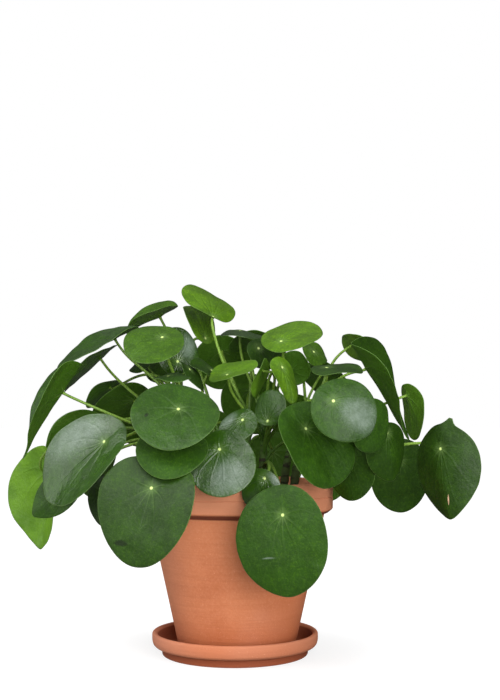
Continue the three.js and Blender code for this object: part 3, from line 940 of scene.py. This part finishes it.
@dataclass(frozen=True)
class Mark:
    """A mark on a blade: its place and half sizes on the blade's disc, and its turn.

    dryness runs from 0 for a dark bruise to 1 for a dry scar; -1 is a painted highlight, a soft patch of
    pale sheen.
    """

    at: Pair
    size: Pair
    turn: float
    dryness: float

    def measure(self, across: float, along: float) -> Place:
        """Give a point's place in the mark's own frame.

        Args:
            across: The point's first coordinate on the blade's disc.
            along: Its second coordinate.

        Returns:
            The place, in half sizes, and the mark's dryness.
        """
        x, y = across - self.at[0], along - self.at[1]
        cosine, sine = math.cos(self.turn), math.sin(self.turn)
        long, wide = self.size
        return (x * cosine + y * sine) / long, (y * cosine - x * sine) / wide, self.dryness


# Marks of dryness -1 are painted highlights: pale sheen set into the colour where the light gleams
MARKS = {
    "far_right": Mark((0.71, 0.136), (0.095, 0.036), -0.5, 1.0),
    "front_right": Mark((0.49, -0.31), (0.13, 0.012), 1.44, -1.0),
    "front_left": Mark((0.70, -0.42), (0.20, 0.045), 1.46, 0.0),
    "middle_left": Mark((0.315, -0.592), (0.07, 0.05), 0.0, 0.0),
    "left": Mark((-0.05, -0.62), (0.60, 0.42), -0.17, -1.0),
    "round_right": Mark((0.58, 0.14), (0.44, 0.52), 0.0, -1.0),
    "front_centre": Mark((0.58, 0.12), (0.36, 0.55), 0.3, -1.0),
    "front_small": Mark((-0.55, 0.50), (0.35, 0.45), 0.0, -1.0),
    "middle_small": Mark((0.0, -0.68), (0.45, 0.30), 0.0, -1.0),
    "behind_round": Mark((0.40, -0.50), (0.40, 0.35), 0.0, -1.0),
}
UNMARKED = (9.0, 9.0, 0.0)


@dataclass(frozen=True)
class Blade:
    """The blade of one leaf: a peltate disc that bends, folds and waves, with sunken veins."""

    leaf: Leaf
    half_thickness: float = 0.00050
    margin_thinning: float = 0.45
    seed_ways: Place = (61.0, 37.0, 83.0)
    wave: float = 0.0012
    waves: int = 3
    wave_shift: float = 1000
    dimple: float = 0.0008
    dimple_share: float = 0.25
    midrib_round: float = 0.003
    groove_depth: float = 0.00009
    groove_width: float = 0.0020
    pucker: float = 0.0002
    cushion_width: float = 0.0048
    cushion_gain: float = 5
    unevenness: float = 0.0020
    lump_scale: float = 32
    bump_scale: float = 95
    bump_share: float = 0.35
    bump_start: float = 3
    calm_joint: float = 0.05
    fine_leaf: float = 0.055
    steps: tuple[int, int] = (64, 96)
    beak_width: float = 0.09
    beak_reach: float = 0.32
    beak_start: int = 12
    beak_slimness: float = 1.5
    rings: tuple[float, ...] = (
        0.018, 0.04, 0.07, 0.11, 0.16, 0.22, 0.29, 0.36, 0.43, 0.5,
        0.57, 0.64, 0.71, 0.78, 0.84, 0.9, 0.95, 0.985,
    )

    @property
    def seed(self) -> float:
        """Give the blade's own number, from where it is."""
        return sum(value * way for value, way in zip(self.leaf.at, self.seed_ways)) % FULL_TURN

    def outline(self, share: float, angle: float) -> Pair:
        """Place a point on the blade before it bends.

        Args:
            share: How far out the point is, from 0 at the joint to 1 at the margin.
            angle: Its direction from the tip.

        Returns:
            Its distance along the midrib and across it.
        """
        length, width = self.leaf.size
        tipward = math.cos(angle)
        narrowing = 1 - self.leaf.egg * tipward - self.leaf.point * max(0.0, tipward) ** 3
        if self.leaf.beak:
            off = (angle - math.radians(self.leaf.beak)) / self.beak_width
            share += self.beak_reach * share**self.beak_start * math.exp(-abs(off) ** self.beak_slimness)
        along = share * length * (0.5 - self.leaf.base + 0.5 * tipward)
        return along, share * width * 0.5 * math.sin(angle) * narrowing

    def texture(self, share: float, angle: float, along: float, across: float) -> float:
        """Give the height of the veins' grooves and of the cushions between them.

        Args:
            share: How far out the point is.
            angle: Its direction from the tip.
            along: Its distance along the midrib.
            across: Its distance across it.

        Returns:
            The height, in metres.
        """
        reach = 0.5 * self.leaf.size[0]
        angle = angle if angle <= math.pi else angle - FULL_TURN
        away = VEINS.distance(share, angle, self.seed) * reach
        fading = (1 - share) ** 2
        groove = math.exp(-((away / self.groove_width) ** 2)) * share / (share + self.calm_joint) * fading
        cushion = (1 - math.exp(-((away / self.cushion_width) ** 2))) * share * fading * self.cushion_gain
        spot = Vector((along, across, self.seed))
        lumps = noise.noise(spot * self.lump_scale) * share
        bumps = noise.noise(spot * self.bump_scale) * min(1.0, share * self.bump_start)
        uneven = lumps + self.bump_share * bumps
        return self.pucker * cushion - self.groove_depth * groove + self.unevenness * uneven

    def place(self, share: float, angle: float, layer: float) -> Vector:
        """Place a point of the finished blade.

        Args:
            share: How far out the point is.
            angle: Its direction from the tip.
            layer: Which face it is on, from -1 below to 1 above.

        Returns:
            The point.
        """
        leaf = self.leaf
        along, across = self.outline(share, angle)
        droop = math.radians(leaf.bend[0]) / leaf.size[0]
        curl = math.radians(leaf.bend[1]) / leaf.size[1]
        lean = math.radians(leaf.fold)
        x, drop_x = bent(droop, along)
        y, drop_y = bent(curl, across * math.cos(lean))
        ripple = self.wave * share**3 * math.sin(self.waves * angle + leaf.size[0] * self.wave_shift)
        hollow = self.dimple * (min(1.0, share / self.dimple_share) - 1)
        rise = math.hypot(across, self.midrib_round) - self.midrib_round
        half = self.half_thickness * (1 - self.margin_thinning * share**2)
        up = ripple + hollow + rise * math.sin(lean) - drop_y + layer * half
        up += self.texture(share, angle, along, across)
        normal, tip, side = leaf.frame()
        slope = droop * along
        point = Vector(leaf.at) + tip * (x + up * math.sin(slope)) + side * y
        return point + normal * (up * math.cos(slope) - drop_x)

    def build(self) -> Mesh:
        """Spin a thin disc, then bend it into place and note each point's place on the blade.

        Returns:
            The blade as one closed mesh.
        """
        made = bmesh.new()
        upper = [(0.0, 1.0), *((share, 1.0) for share in self.rings)]
        lower = [(share, -height) for share, height in reversed(upper)]
        section = (*upper, (1.0, 0.0), *lower)
        profile = [made.verts.new((share, 0.0, height)) for share, height in section]
        for pair in zip(profile, profile[1:]):
            made.edges.new(pair)
        steps = self.steps[self.leaf.size[0] > self.fine_leaf]
        spin(made, 0.0, steps, DISC_GAP)
        disc = made.verts.layers.float_vector.new("disc")
        growth = made.verts.layers.float_vector.new("growth")
        wax = made.verts.layers.float.new("wax")
        mark = made.verts.layers.float_vector.new("mark")
        scar = MARKS.get(self.leaf.name)
        for point in made.verts:
            point[wax] = self.leaf.wax
            across, up, layer = point.co
            point[mark] = scar.measure(across, up) if scar else UNMARKED
            share = math.hypot(across, up)
            angle = math.atan2(up, across)
            reach = math.hypot(*self.outline(share, angle))
            point[disc] = (across, up, reach)
            point[growth] = (layer, self.seed, self.leaf.tone.value)
            point.co = self.place(share, angle, layer)
        bmesh.ops.recalc_face_normals(made, faces=made.faces)
        return made


def bent(amount: float, distance: float) -> Pair:
    """Follow a curve that turns evenly.

    Args:
        amount: How many radians it turns in a metre.
        distance: How far along it the point is.

    Returns:
        How far the point gets along, and how far it drops.
    """
    if abs(amount) < TINY:
        return distance, 0.0
    return math.sin(amount * distance) / amount, (1 - math.cos(amount * distance)) / amount


@dataclass
class Line:
    """A smooth line through space, held as points close together."""

    points: list[Vector]

    @classmethod
    def bezier(cls, knots: Sequence[Vector], steps: int) -> "Line":
        """Draw a Bezier curve.

        Args:
            knots: Its control points.
            steps: How many pieces it is divided into.

        Returns:
            The line.
        """
        made = []
        for step in range(steps + 1):
            level = [knot.copy() for knot in knots]
            while len(level) > 1:
                level = [a.lerp(b, step / steps) for a, b in zip(level, level[1:])]
            made.append(level[0])
        return cls(made)

    def at(self, share: float) -> Vector:
        """Find the point a share of the way along the line.

        Args:
            share: The share of the line's length.

        Returns:
            The point.
        """
        lengths = [(b - a).length for a, b in zip(self.points, self.points[1:])]
        left = share * sum(lengths)
        for start, stop, length in zip(self.points, self.points[1:], lengths):
            if left <= length:
                return start.lerp(stop, left / length)
            left -= length
        return self.points[-1].copy()

    def eased(self, rounds: int) -> "Line":
        """Round the line's kinks, with its ends held.

        Args:
            rounds: How many times it is rounded.

        Returns:
            The rounder line.
        """
        points = self.points
        for _ in range(rounds):
            inner = [(a + 2 * b + c) / 4 for a, b, c in zip(points, points[1:], points[2:])]
            points = [points[0], *inner, points[-1]]
        return Line(points)


def edges_of(ring: Sequence[bmesh.types.BMVert]) -> list[bmesh.types.BMEdge]:
    """List the edges that join a ring of points."""
    return list({edge for vert in ring for edge in vert.link_edges if edge.other_vert(vert) in ring})


@dataclass(frozen=True)
class Sweep:
    """A round stem that follows a line."""

    line: Line
    radius: Callable[[float], float]
    sides: int
    trunk: bool = False

    def draw(self, made: Mesh, growth: bmesh.types.BMLayerItem) -> None:
        """Extrude a circle along the line.

        Args:
            made: The mesh that the stem is added to.
            growth: The layer that notes how far along the stem each point is.
        """
        points = self.line.points
        last = len(points) - 1
        turn = (points[1] - points[0]).to_track_quat("Z", "Y")
        place = Matrix.Identity(4)
        ring: list[bmesh.types.BMVert] = []
        for step, point in enumerate(points):
            share = step / last
            if 0 < step < last:
                ahead = points[step + 1] - points[step - 1]
                turn = (turn @ UP).rotation_difference(ahead) @ turn
            radius = self.radius(share)
            wanted = Matrix.LocRotScale(point, turn, (radius, radius, radius))
            if step == 0:
                start = bmesh.ops.create_circle(made, cap_ends=True, segments=self.sides, radius=1.0)
                ring = start["verts"]
            else:
                grown = bmesh.ops.extrude_edge_only(made, edges=edges_of(ring))["geom"]
                ring = [part for part in grown if isinstance(part, bmesh.types.BMVert)]
            bmesh.ops.transform(made, matrix=wanted @ place.inverted(), verts=ring)
            place = wanted
            for vert in ring:
                vert[growth] = (share, 0.0, float(self.trunk))
        bmesh.ops.contextual_create(made, geom=edges_of(ring))


@dataclass(frozen=True)
class Plantlet:
    """One plantlet: a short trunk with a petiole and a blade for each of its leaves."""

    name: str
    root: Pair
    top: Place
    leaves: Sequence[Leaf]
    one_piece: bool = False
    soil_top: float = 0.139
    hole_depth: float = 0.0157
    trunk_radius: float = 0.0046
    trunk_tip_radius: float = 0.0028
    petiole_radius: float = 0.00145
    petiole_tip_radius: float = 0.00115
    landing: float = 0.0025
    underside: float = -0.0008 - 0.0005
    sunk: float = 0.0003
    spread_share: float = 0.22
    arrival_share: float = 0.3
    arrival_lift: float = 0.9
    trunk_steps: int = 40
    trunk_sides: int = 14
    petiole_steps: int = 26
    petiole_sides: int = 12
    start_shares: Pair = (0.45, 0.97)
    start_level: float = 0.150
    start_run: float = 0.250
    upright: float = 0.001
    easing: int = 3
    swellings: Pair = (0.7, 0.35)
    swelling_rates: Pair = (30, 40)
    scar_swelling: float = 0.07
    scar_rate: float = 55
    tip_start: float = 0.99
    tip_size: float = 0.6

    def trunk(self) -> Line:
        """Draw the trunk's centre line.

        Returns:
            The line, from the bottom of its hole to its tip.
        """
        x, y = self.root
        low = Vector((x, y, self.soil_top - self.hole_depth))
        middle = Vector((x, y, (self.soil_top + self.top[2]) / 2))
        return Line.bezier((low, middle, Vector(self.top)), self.trunk_steps)

    def petiole(self, leaf: Leaf) -> Line:
        """Draw a petiole's centre line.

        Args:
            leaf: The leaf that it carries.

        Returns:
            The line, from inside the trunk to the blade's underside.
        """
        normal = leaf.frame()[0]
        joint = Vector(leaf.at)
        landing = joint + normal * (self.underside - self.landing)
        lowest, highest = self.start_shares
        reach = min(highest, max(lowest, 0.5 + (joint.z - self.start_level) / self.start_run))
        start = self.trunk().at(reach)
        span = landing - start
        distance = span.length
        outward = Vector((span.x, span.y, 0.0))
        if outward.length > self.upright:
            outward.normalize()
        bow = Vector(leaf.bow)
        first = start + outward * distance * self.spread_share + UP * distance * leaf.rise + bow
        approach = (UP * self.arrival_lift * (1 - abs(normal.z)) - normal).normalized()
        second = landing + approach * distance * self.arrival_share
        if leaf.via:
            second = Vector(leaf.via)
        line = Line.bezier((start, first, second + bow, landing), self.petiole_steps)
        end = joint + normal * (self.underside + self.sunk)
        line.points += [landing.lerp(end, 0.5), end]
        return line.eased(self.easing)

    def petiole_radius_at(self, share: float) -> float:
        """Give a petiole's radius, which widens at the trunk and just under the blade.

        Args:
            share: How far along the petiole.

        Returns:
            The radius, in metres.
        """
        plain = self.petiole_radius + (self.petiole_tip_radius - self.petiole_radius) * share
        low = self.swellings[0] * math.exp(-share * self.swelling_rates[0])
        return plain * (1 + low + self.swellings[1] * math.exp((share - 1) * self.swelling_rates[1]))

    def trunk_radius_at(self, share: float) -> float:
        """Give the trunk's radius, which swells at the scars of fallen leaves.

        Args:
            share: How far up the trunk.

        Returns:
            The radius, in metres.
        """
        plain = self.trunk_radius + (self.trunk_tip_radius - self.trunk_radius) * share
        swollen = plain * (1 + self.scar_swelling * math.sin(share * self.scar_rate))
        return swollen * (1 if share < self.tip_start else self.tip_size)

    def stems(self) -> Mesh:
        """Draw the trunk and every petiole.

        Returns:
            Their mesh.
        """
        made = bmesh.new()
        growth = made.verts.layers.float_vector.new("growth")
        trunk = Sweep(self.trunk(), self.trunk_radius_at, self.trunk_sides, trunk=True)
        trunk.draw(made, growth)
        for leaf in self.leaves:
            Sweep(self.petiole(leaf), self.petiole_radius_at, self.petiole_sides).draw(made, growth)
        bmesh.ops.recalc_face_normals(made, faces=made.faces)
        return made

    def build(self, stem: Material, blade: Material) -> None:
        """Make the plantlet's pieces, or one piece where its CAD node holds them all.

        Args:
            stem: The finish of the trunk and petioles.
            blade: The finish of the blades.
        """
        made = self.stems()
        if not self.one_piece:
            Piece.place(f"{self.name}_grown", made, [stem], [self.name], "stem")
            for leaf in self.leaves:
                slot = "young_leaf" if leaf.tone is Tone.YOUNG else "leaf"
                shape = Blade(leaf).build()
                Piece.place(f"blade_{leaf.name}", shape, [blade], [f"leaf_{leaf.name}"], slot)
            return
        for leaf in self.leaves:
            shape = Blade(leaf).build()
            for face in shape.faces:
                face.material_index = 1
            mesh = bpy.data.meshes.new("blade")
            shape.to_mesh(mesh)
            shape.free()
            made.from_mesh(mesh)
            bpy.data.meshes.remove(mesh)
        Piece.place(f"{self.name}_grown", made, [stem, blade], [self.name], "leaf")


# The plantlets and their leaves


MAIN_LEAVES = (
    Leaf("front_right", (0.0385, -0.128, 0.133), (-20, 6, 0), (0.089, 0.075), bend=(31, 5), fold=5, egg=0,
         point=0.09, base=0.27, rise=0.35, via=(0.042, -0.097, 0.14), wax=0.3),
    Leaf("front_small", (0.025, -0.098, 0.16), (-20, 5, 20), (0.035, 0.034), base=0.2, rise=0.12,
         wax=0.9),
    Leaf("top", (-0.0185, -0.03, 0.296), (42, 43, -155), (0.056, 0.052), bend=(18, 14), fold=-2,
         egg=-0.09, point=0.08, base=0.05, rise=0.25, via=(-0.0155, -0.028, 0.262), tone=Tone.YOUNG,
         wax=0.2),
    Leaf("middle_flat", (-0.006, -0.06, 0.245), (-35, 63, -112), (0.044, 0.041), bend=(-20, 20), fold=15,
         egg=0.04, point=0.33, base=0.35, rise=0.3, via=(-0.005, -0.046, 0.224), tone=Tone.YOUNG),
    Leaf("middle_dark", (0.028, -0.06, 0.206), (-30, 4, -172), (0.031, 0.03), base=0.13, wax=0.6),
    Leaf("middle_edge", (0.0235, -0.033, 0.2495), (-112, 22, 0), (0.036, 0.028), tone=Tone.YOUNG,
         wax=0.3),
    Leaf("middle_bright", (0.0405, -0.048, 0.2515), (43, 28, -4), (0.044, 0.027), bend=(25, 1), fold=-8,
         egg=0.28, point=0.12, base=0.24, tone=Tone.YOUNG),
    Leaf("back_top", (0.004, 0.05, 0.2905), (20, 82, 0), (0.035, 0.042), bend=(35, 17), fold=-8,
         egg=-0.05, point=0.21, base=0.32, tone=Tone.IN_SHADE, wax=0.6),
    Leaf("back_middle", (0.021, 0.02, 0.272), (30, 30, -20), (0.032, 0.028), tone=Tone.IN_SHADE),
    Leaf("high_right", (0.04, -0.03, 0.275), (-19, 55, -147), (0.057, 0.054), bend=(16, 0), fold=-1,
         egg=0.02, point=0.26, base=0.26, tone=Tone.YOUNG, wax=0.3),
    Leaf("middle_right", (0.058, -0.1, 0.2), (28, 26, -29), (0.076, 0.069), bend=(32, -13), fold=6,
         egg=-0.1, point=0.08, base=0.31, wax=0.2),
    Leaf("round_right", (0.0775, -0.135, 0.2215), (0, 17, -54), (0.055, 0.051), bend=(41, 0), fold=-6,
         egg=0.04, point=0.11, base=0.29, rise=0.25, wax=0.35),
    Leaf("low_middle_right", (0.097, -0.052, 0.175), (-30, 3, -3), (0.052, 0.046), tone=Tone.IN_SHADE, wax=0),
)
LEFT_LEAVES = (
    Leaf("low_front", (-0.107, -0.068, 0.149), (-35, 5, 6), (0.044, 0.038), tone=Tone.IN_SHADE),
    Leaf("tuck_left", (-0.142, -0.066, 0.151), (-14, 12, 48), (0.052, 0.034), egg=0.2, point=0.3),
    Leaf("middle_left", (-0.043, -0.12, 0.2155), (-1, 42, 20), (0.066, 0.071), bend=(25, 1), fold=4,
         egg=0.03, point=0.09, base=0.39, wax=0.45),
    Leaf("left", (-0.1045, -0.095, 0.1895), (-32, 26, 43), (0.09, 0.073), bend=(12, -45), fold=4,
         egg=-0.09, point=0.37, base=0.24, wax=0.8),
    Leaf("low_left", (-0.168, 0.0, 0.1605), (143, 8, -5), (0.094, 0.065), bend=(25, 63), fold=-22,
         egg=0.04, point=0.37, base=0.26, via=(-0.186, -0.062, 0.188), tone=Tone.SUNLIT, wax=0.8),
    Leaf("behind_left", (-0.136, 0.022, 0.195), (-150, 16, -30), (0.072, 0.064), tone=Tone.IN_SHADE),
    Leaf("drape_left", (-0.1465, -0.045, 0.2305), (-75, 34, 4), (0.095, 0.066), bend=(14, 32), fold=34,
         egg=0.58, point=0.49, base=0.31, rise=0.05, via=(-0.114, -0.05, 0.215), wax=0.6),
    Leaf("edge_left", (-0.125, 0.034, 0.264), (-90, 51, 1), (0.066, 0.057), bend=(19, 7), fold=8, egg=0.1,
         point=0.07, base=0.31, rise=0.1, via=(-0.1095, 0.03, 0.24)),
    Leaf("long_left", (-0.108, 0.006, 0.28), (-59, 60, 20), (0.082, 0.075), bend=(5, 14), fold=13,
         egg=-0.03, base=0.29, wax=0.7),
    Leaf("high_left", (-0.0715, 0.054, 0.304), (-59, 61, 30), (0.055, 0.054), bend=(5, 9), fold=28,
         point=0.04, base=0.36, tone=Tone.FRESH),
    Leaf("round_left", (-0.0595, -0.07, 0.2755), (-8, 52, 42), (0.049, 0.056), bend=(27, 1), fold=1,
         egg=-0.1, point=0.1, base=0.32, tone=Tone.FRESH),
    Leaf("behind_round", (-0.05, -0.018, 0.258), (30, 10, -172), (0.046, 0.042), tone=Tone.IN_SHADE, wax=1),
    Leaf("shade_left", (-0.084, 0.046, 0.262), (-40, 60, 0), (0.028, 0.026), tone=Tone.IN_SHADE),
    Leaf("shade_low_left", (-0.12, 0.07, 0.2385), (-137, 50, -31), (0.041, 0.032), bend=(24, 6), egg=0,
         base=0.27, bow=(0.0, 0.0, 0.03), tone=Tone.IN_SHADE),
    Leaf("shade_middle_left", (-0.095, 0.05, 0.226), (-158, 46, -61), (0.058, 0.052), tone=Tone.IN_SHADE),
    Leaf("flat_left", (-0.054, -0.074, 0.243), (-30, 82, -60), (0.038, 0.03)),
)
RIGHT_LEAVES = (
    Leaf("behind_high", (0.0725, 0.046, 0.2705), (37, 40, -41), (0.027, 0.035), bend=(18, 0), fold=-8,
         egg=-0.1, point=0.38, base=0.43, tone=Tone.FRESH),
    Leaf("shade_right", (0.05, 0.036, 0.252), (150, 20, 120), (0.036, 0.032), tone=Tone.IN_SHADE),
    Leaf("flat_right", (0.076, -0.08, 0.25), (-12, 74, -95), (0.043, 0.04), tone=Tone.IN_SHADE),
    Leaf("under_round", (0.108, -0.095, 0.2085), (38, -4, -39), (0.046, 0.044), wax=0.3),
    Leaf("drape_right", (0.1145, -0.025, 0.2515), (75, 30, -17), (0.101, 0.066), bend=(3, -9), fold=25,
         egg=0.9, base=0.26, tone=Tone.IN_SHADE, wax=0.1),
    Leaf("behind_drape", (0.1085, 0.034, 0.277), (114, 41, 9), (0.032, 0.05), bend=(22, 2), fold=4,
         egg=0.09, point=0.03, base=0.38, tone=Tone.SUNLIT),
    Leaf("far_right", (0.174, -0.05, 0.1825), (-41, 4, -6), (0.082, 0.064), bend=(26, 57), fold=-8,
         egg=0.16, point=0.27, base=0.26, rise=0.12, bow=(0.0, 0.0, -0.01), tone=Tone.IN_SHADE, wax=0.32,
         beak=167),
    Leaf("edge_right", (0.156, 0.02, 0.229), (110, 13, 11), (0.052, 0.044), bend=(22, 7), fold=10,
         egg=0.01, point=0.08, base=0.21, rise=0.15, via=(0.135, 0.015, 0.223), tone=Tone.FRESH),
    Leaf("low_right", (0.152, 0.04, 0.169), (10, -2, -4), (0.07, 0.058), tone=Tone.IN_SHADE, wax=0),
    Leaf("fold_right", (0.127, -0.066, 0.196), (32, 1, -12), (0.051, 0.045), bend=(19, 32), fold=-8,
         egg=0.17, point=0.25, base=0.17, tone=Tone.IN_SHADE, wax=0.1),
)
FRONT_LEAVES = (
    Leaf("front_left", (-0.0635, -0.128, 0.154), (-14, 23, 10), (0.09, 0.079), bend=(48, 0), fold=8,
         egg=0.2, tone=Tone.IN_SHADE, wax=0.4),
    Leaf("front_centre", (-0.011, -0.106, 0.1835), (-8, 24, -14), (0.057, 0.053), bend=(14, 2), fold=-1,
         egg=-0.09, point=0.03, rise=0.25, wax=0.7),
    Leaf("under_middle", (-0.047, -0.112, 0.192), (-3, 45, 6), (0.056, 0.057), wax=0.2),
    Leaf("under_top", (-0.0265, 0.004, 0.28), (50, 17, 179), (0.042, 0.037), bend=(35, 18), fold=9,
         egg=-0.1, base=0.13, tone=Tone.YOUNG),
    Leaf("narrow_left", (-0.038, -0.046, 0.25), (70, 40, 0), (0.034, 0.026), tone=Tone.IN_SHADE),
    Leaf("small_middle", (-0.02, -0.03, 0.25), (60, 50, 120), (0.03, 0.026), tone=Tone.IN_SHADE),
    Leaf("middle_small", (0.007, -0.072, 0.207), (-20, 34, 30), (0.036, 0.032), wax=0.8),
)
FAR_LEAVES = (
    Leaf("back_1", (0.016, 0.078, 0.282), (170, 60, 20), (0.06, 0.054)),
    Leaf("back_2", (-0.014, 0.092, 0.274), (-175, 40, 0), (0.062, 0.056)),
    Leaf("back_3", (0.014, 0.112, 0.236), (170, 34, 0), (0.07, 0.062)),
    Leaf("back_4", (0.058, 0.104, 0.216), (150, 25, 0), (0.064, 0.058)),
    Leaf("back_5", (-0.03, 0.118, 0.2), (-165, 24, 0), (0.066, 0.06)),
    Leaf("back_6", (0.036, 0.122, 0.175), (178, 12, 0), (0.068, 0.06)),
)
FAR_LEFT_LEAVES = (
    Leaf("back_left_1", (-0.06, 0.072, 0.272), (-140, 50, 0), (0.056, 0.05)),
    Leaf("back_left_2", (-0.084, 0.096, 0.222), (-140, 34, 0), (0.066, 0.06)),
    Leaf("back_left_3", (-0.128, 0.054, 0.18), (-115, 20, 0), (0.066, 0.06)),
    Leaf("back_left_4", (-0.074, 0.108, 0.168), (-150, 10, 0), (0.062, 0.058)),
)
FAR_RIGHT_LEAVES = (
    Leaf("back_right_1", (0.082, 0.072, 0.252), (140, 50, 0), (0.054, 0.05)),
    Leaf("back_right_2", (0.098, 0.082, 0.228), (130, 35, 0), (0.066, 0.06)),
    Leaf("back_right_3", (0.132, 0.07, 0.186), (125, 20, 0), (0.064, 0.058)),
    Leaf("back_right_4", (0.088, 0.106, 0.17), (145, 8, 0), (0.062, 0.056)),
)
PLANTLETS = (
    Plantlet("stem_main", (0.024, -0.006), (0.026, -0.008, 0.196), MAIN_LEAVES),
    Plantlet("stem_left", (-0.034, -0.012), (-0.042, -0.014, 0.2), LEFT_LEAVES),
    Plantlet("stem_right", (0.052, 0.014), (0.064, 0.008, 0.196), RIGHT_LEAVES),
    Plantlet("stem_front", (-0.006, -0.04), (-0.01, -0.046, 0.176), FRONT_LEAVES),
    Plantlet("leafy_stem_back", (0.008, 0.04), (0.012, 0.048, 0.2), FAR_LEAVES, one_piece=True),
    Plantlet("leafy_stem_back_left", (-0.042, 0.028), (-0.05, 0.036, 0.19), FAR_LEFT_LEAVES,
             one_piece=True),
    Plantlet("leafy_stem_back_right", (0.044, 0.044), (0.054, 0.052, 0.19), FAR_RIGHT_LEAVES,
             one_piece=True),
)


@dataclass(frozen=True)
class Plant:
    """The whole plant: four plantlets with blades of their own, and three of the far side."""

    plantlets: tuple[Plantlet, ...] = PLANTLETS

    def build(self) -> None:
        """Make every plantlet's pieces."""
        stem = StemFinish().material()
        blade = LeafFinish().material()
        for plantlet in self.plantlets:
            plantlet.build(stem, blade)


# Studio


@dataclass(frozen=True)
class Lamp:
    """A soft light: where it hangs, its width and height, and its power in watts."""

    name: str
    place: Place
    size: Pair
    power: float


@dataclass(frozen=True)
class Studio:
    """A pale floor, soft lights and a level camera in front of the plant."""

    eye: Place = (0.0132, -1.010, 0.206)
    lens: float = 58.42
    sensor: float = 36.0
    shift: float = 0.1014
    floor_size: float = 60.0
    floor_glow: float = 0.78
    backdrop: float = 1.0
    ambient: float = 0.12
    aim: Place = (0.0, 0.0, 0.17)
    floor_greys: Pair = (0.27, 0.29)
    floor_clouds: Noise = (3, 2, 0.5)
    glow_reach: Pair = (0.075, 0.22)
    lamps: tuple[Lamp, ...] = (
        Lamp("key", (0.55, -1.62, 0.85), (1.3, 1.4), 31.0),
        Lamp("low", (0.30, -1.48, 0.18), (0.8, 0.36), 7.0),
        Lamp("upper", (-0.85, -1.00, 1.45), (1.9, 0.7), 17.0),
        Lamp("side", (-1.35, -0.60, 0.45), (1.6, 1.6), 14.0),
        Lamp("top", (0.0, 0.5, 1.7), (1.6, 1.6), 3.0),
    )

    def light(self, lamp: Lamp) -> None:
        """Hang a soft light that points at the plant.

        Args:
            lamp: Its place, size and power.
        """
        made = bpy.data.lights.new(lamp.name, "AREA")
        made.shape = "RECTANGLE"
        made.size, made.size_y = lamp.size
        made.energy = lamp.power
        holder = bpy.data.objects.new(lamp.name, made)
        bpy.context.scene.collection.objects.link(holder)
        holder.location = lamp.place
        way = Vector(lamp.place) - Vector(self.aim)
        holder.rotation_euler = way.to_track_quat("Z", "Y").to_euler()

    def floor(self) -> None:
        """Lay the floor."""
        made = bmesh.new()
        bmesh.ops.create_grid(made, x_segments=1, y_segments=1, size=self.floor_size / 2)
        mesh = bpy.data.meshes.new("floor")
        made.to_mesh(mesh)
        made.free()
        surface = Surface("floor")
        where = surface.place()
        greys = [(grey, grey, grey) for grey in self.floor_greys]
        colour = surface.blend(surface.grain(where, self.floor_clouds), *greys)
        across, deep, _ = surface.split(where)
        away = surface.length(across, deep)
        # Painted light: the floor glows white for the camera alone, and glows less near the saucer, a
        # painted shade round it that lets the real shadow show
        seen = surface.node("ShaderNodeLightPath").outputs["Is Camera Ray"]
        glow = surface.times(seen, surface.fade(away, *self.glow_reach, self.floor_glow, 1.0))
        white = (1.0, 1.0, 1.0)
        finish = surface.finish(
            Base_Color=colour, Roughness=0.9, Emission_Color=white, Emission_Strength=glow
        )
        mesh.materials.append(finish)
        laid = bpy.data.objects.new("floor", mesh)
        bpy.context.scene.collection.objects.link(laid)

    def world(self) -> None:
        """Set a white backdrop that lights the plant less than it shows."""
        world = bpy.data.worlds.new("studio")
        bpy.context.scene.world = world
        world.use_nodes = True
        tree = world.node_tree
        seen = tree.nodes.new("ShaderNodeLightPath").outputs["Is Camera Ray"]
        strength = tree.nodes.new("ShaderNodeMapRange")
        strength.inputs["To Min"].default_value = self.ambient
        strength.inputs["To Max"].default_value = self.backdrop
        tree.links.new(seen, strength.inputs["Value"])
        back = tree.nodes["Background"]
        back.inputs["Color"].default_value = (1.0, 1.0, 1.0, 1.0)
        tree.links.new(strength.outputs[0], back.inputs["Strength"])

    def camera(self) -> None:
        """Set up the camera."""
        lens = bpy.data.cameras.new("camera")
        lens.lens = self.lens
        lens.sensor_width = self.sensor
        lens.shift_y = self.shift
        holder = bpy.data.objects.new("camera", lens)
        bpy.context.scene.collection.objects.link(holder)
        holder.location = self.eye
        holder.rotation_euler = (math.pi / 2, 0.0, 0.0)
        bpy.context.scene.camera = holder

    def build(self) -> None:
        """Set up the floor, the lights, the world and the camera."""
        self.floor()
        self.world()
        for lamp in self.lamps:
            self.light(lamp)
        self.camera()
        bpy.context.scene.view_settings.view_transform = "Standard"


def main() -> None:
    """Build the studio and every piece."""
    logging.basicConfig(level=logging.INFO, format="%(message)s")
    Studio().build()
    saucer_clay = TerracottaFinish(
        "saucer_clay",
        clay=(0.56, 0.215, 0.115),
        pale=(0.66, 0.29, 0.17),
        bloom=(0.58, 0.25, 0.16),
        damp_and_shade=(0.52, 0.17, 0.08),
        right_shade_share=0.2,
        shade=(0.21, 0.036, 0.008),
        shaded_heights=(-0.002, 0.0085),
        shaded_share=0.7,
        well_radius=0.0690,
    )
    Saucer().build(saucer_clay.material())
    Pot().build(TerracottaFinish("pot_clay").material())
    Soil().build(SoilFinish().material())
    Plant().build()


if __name__ == "__main__":
    main()
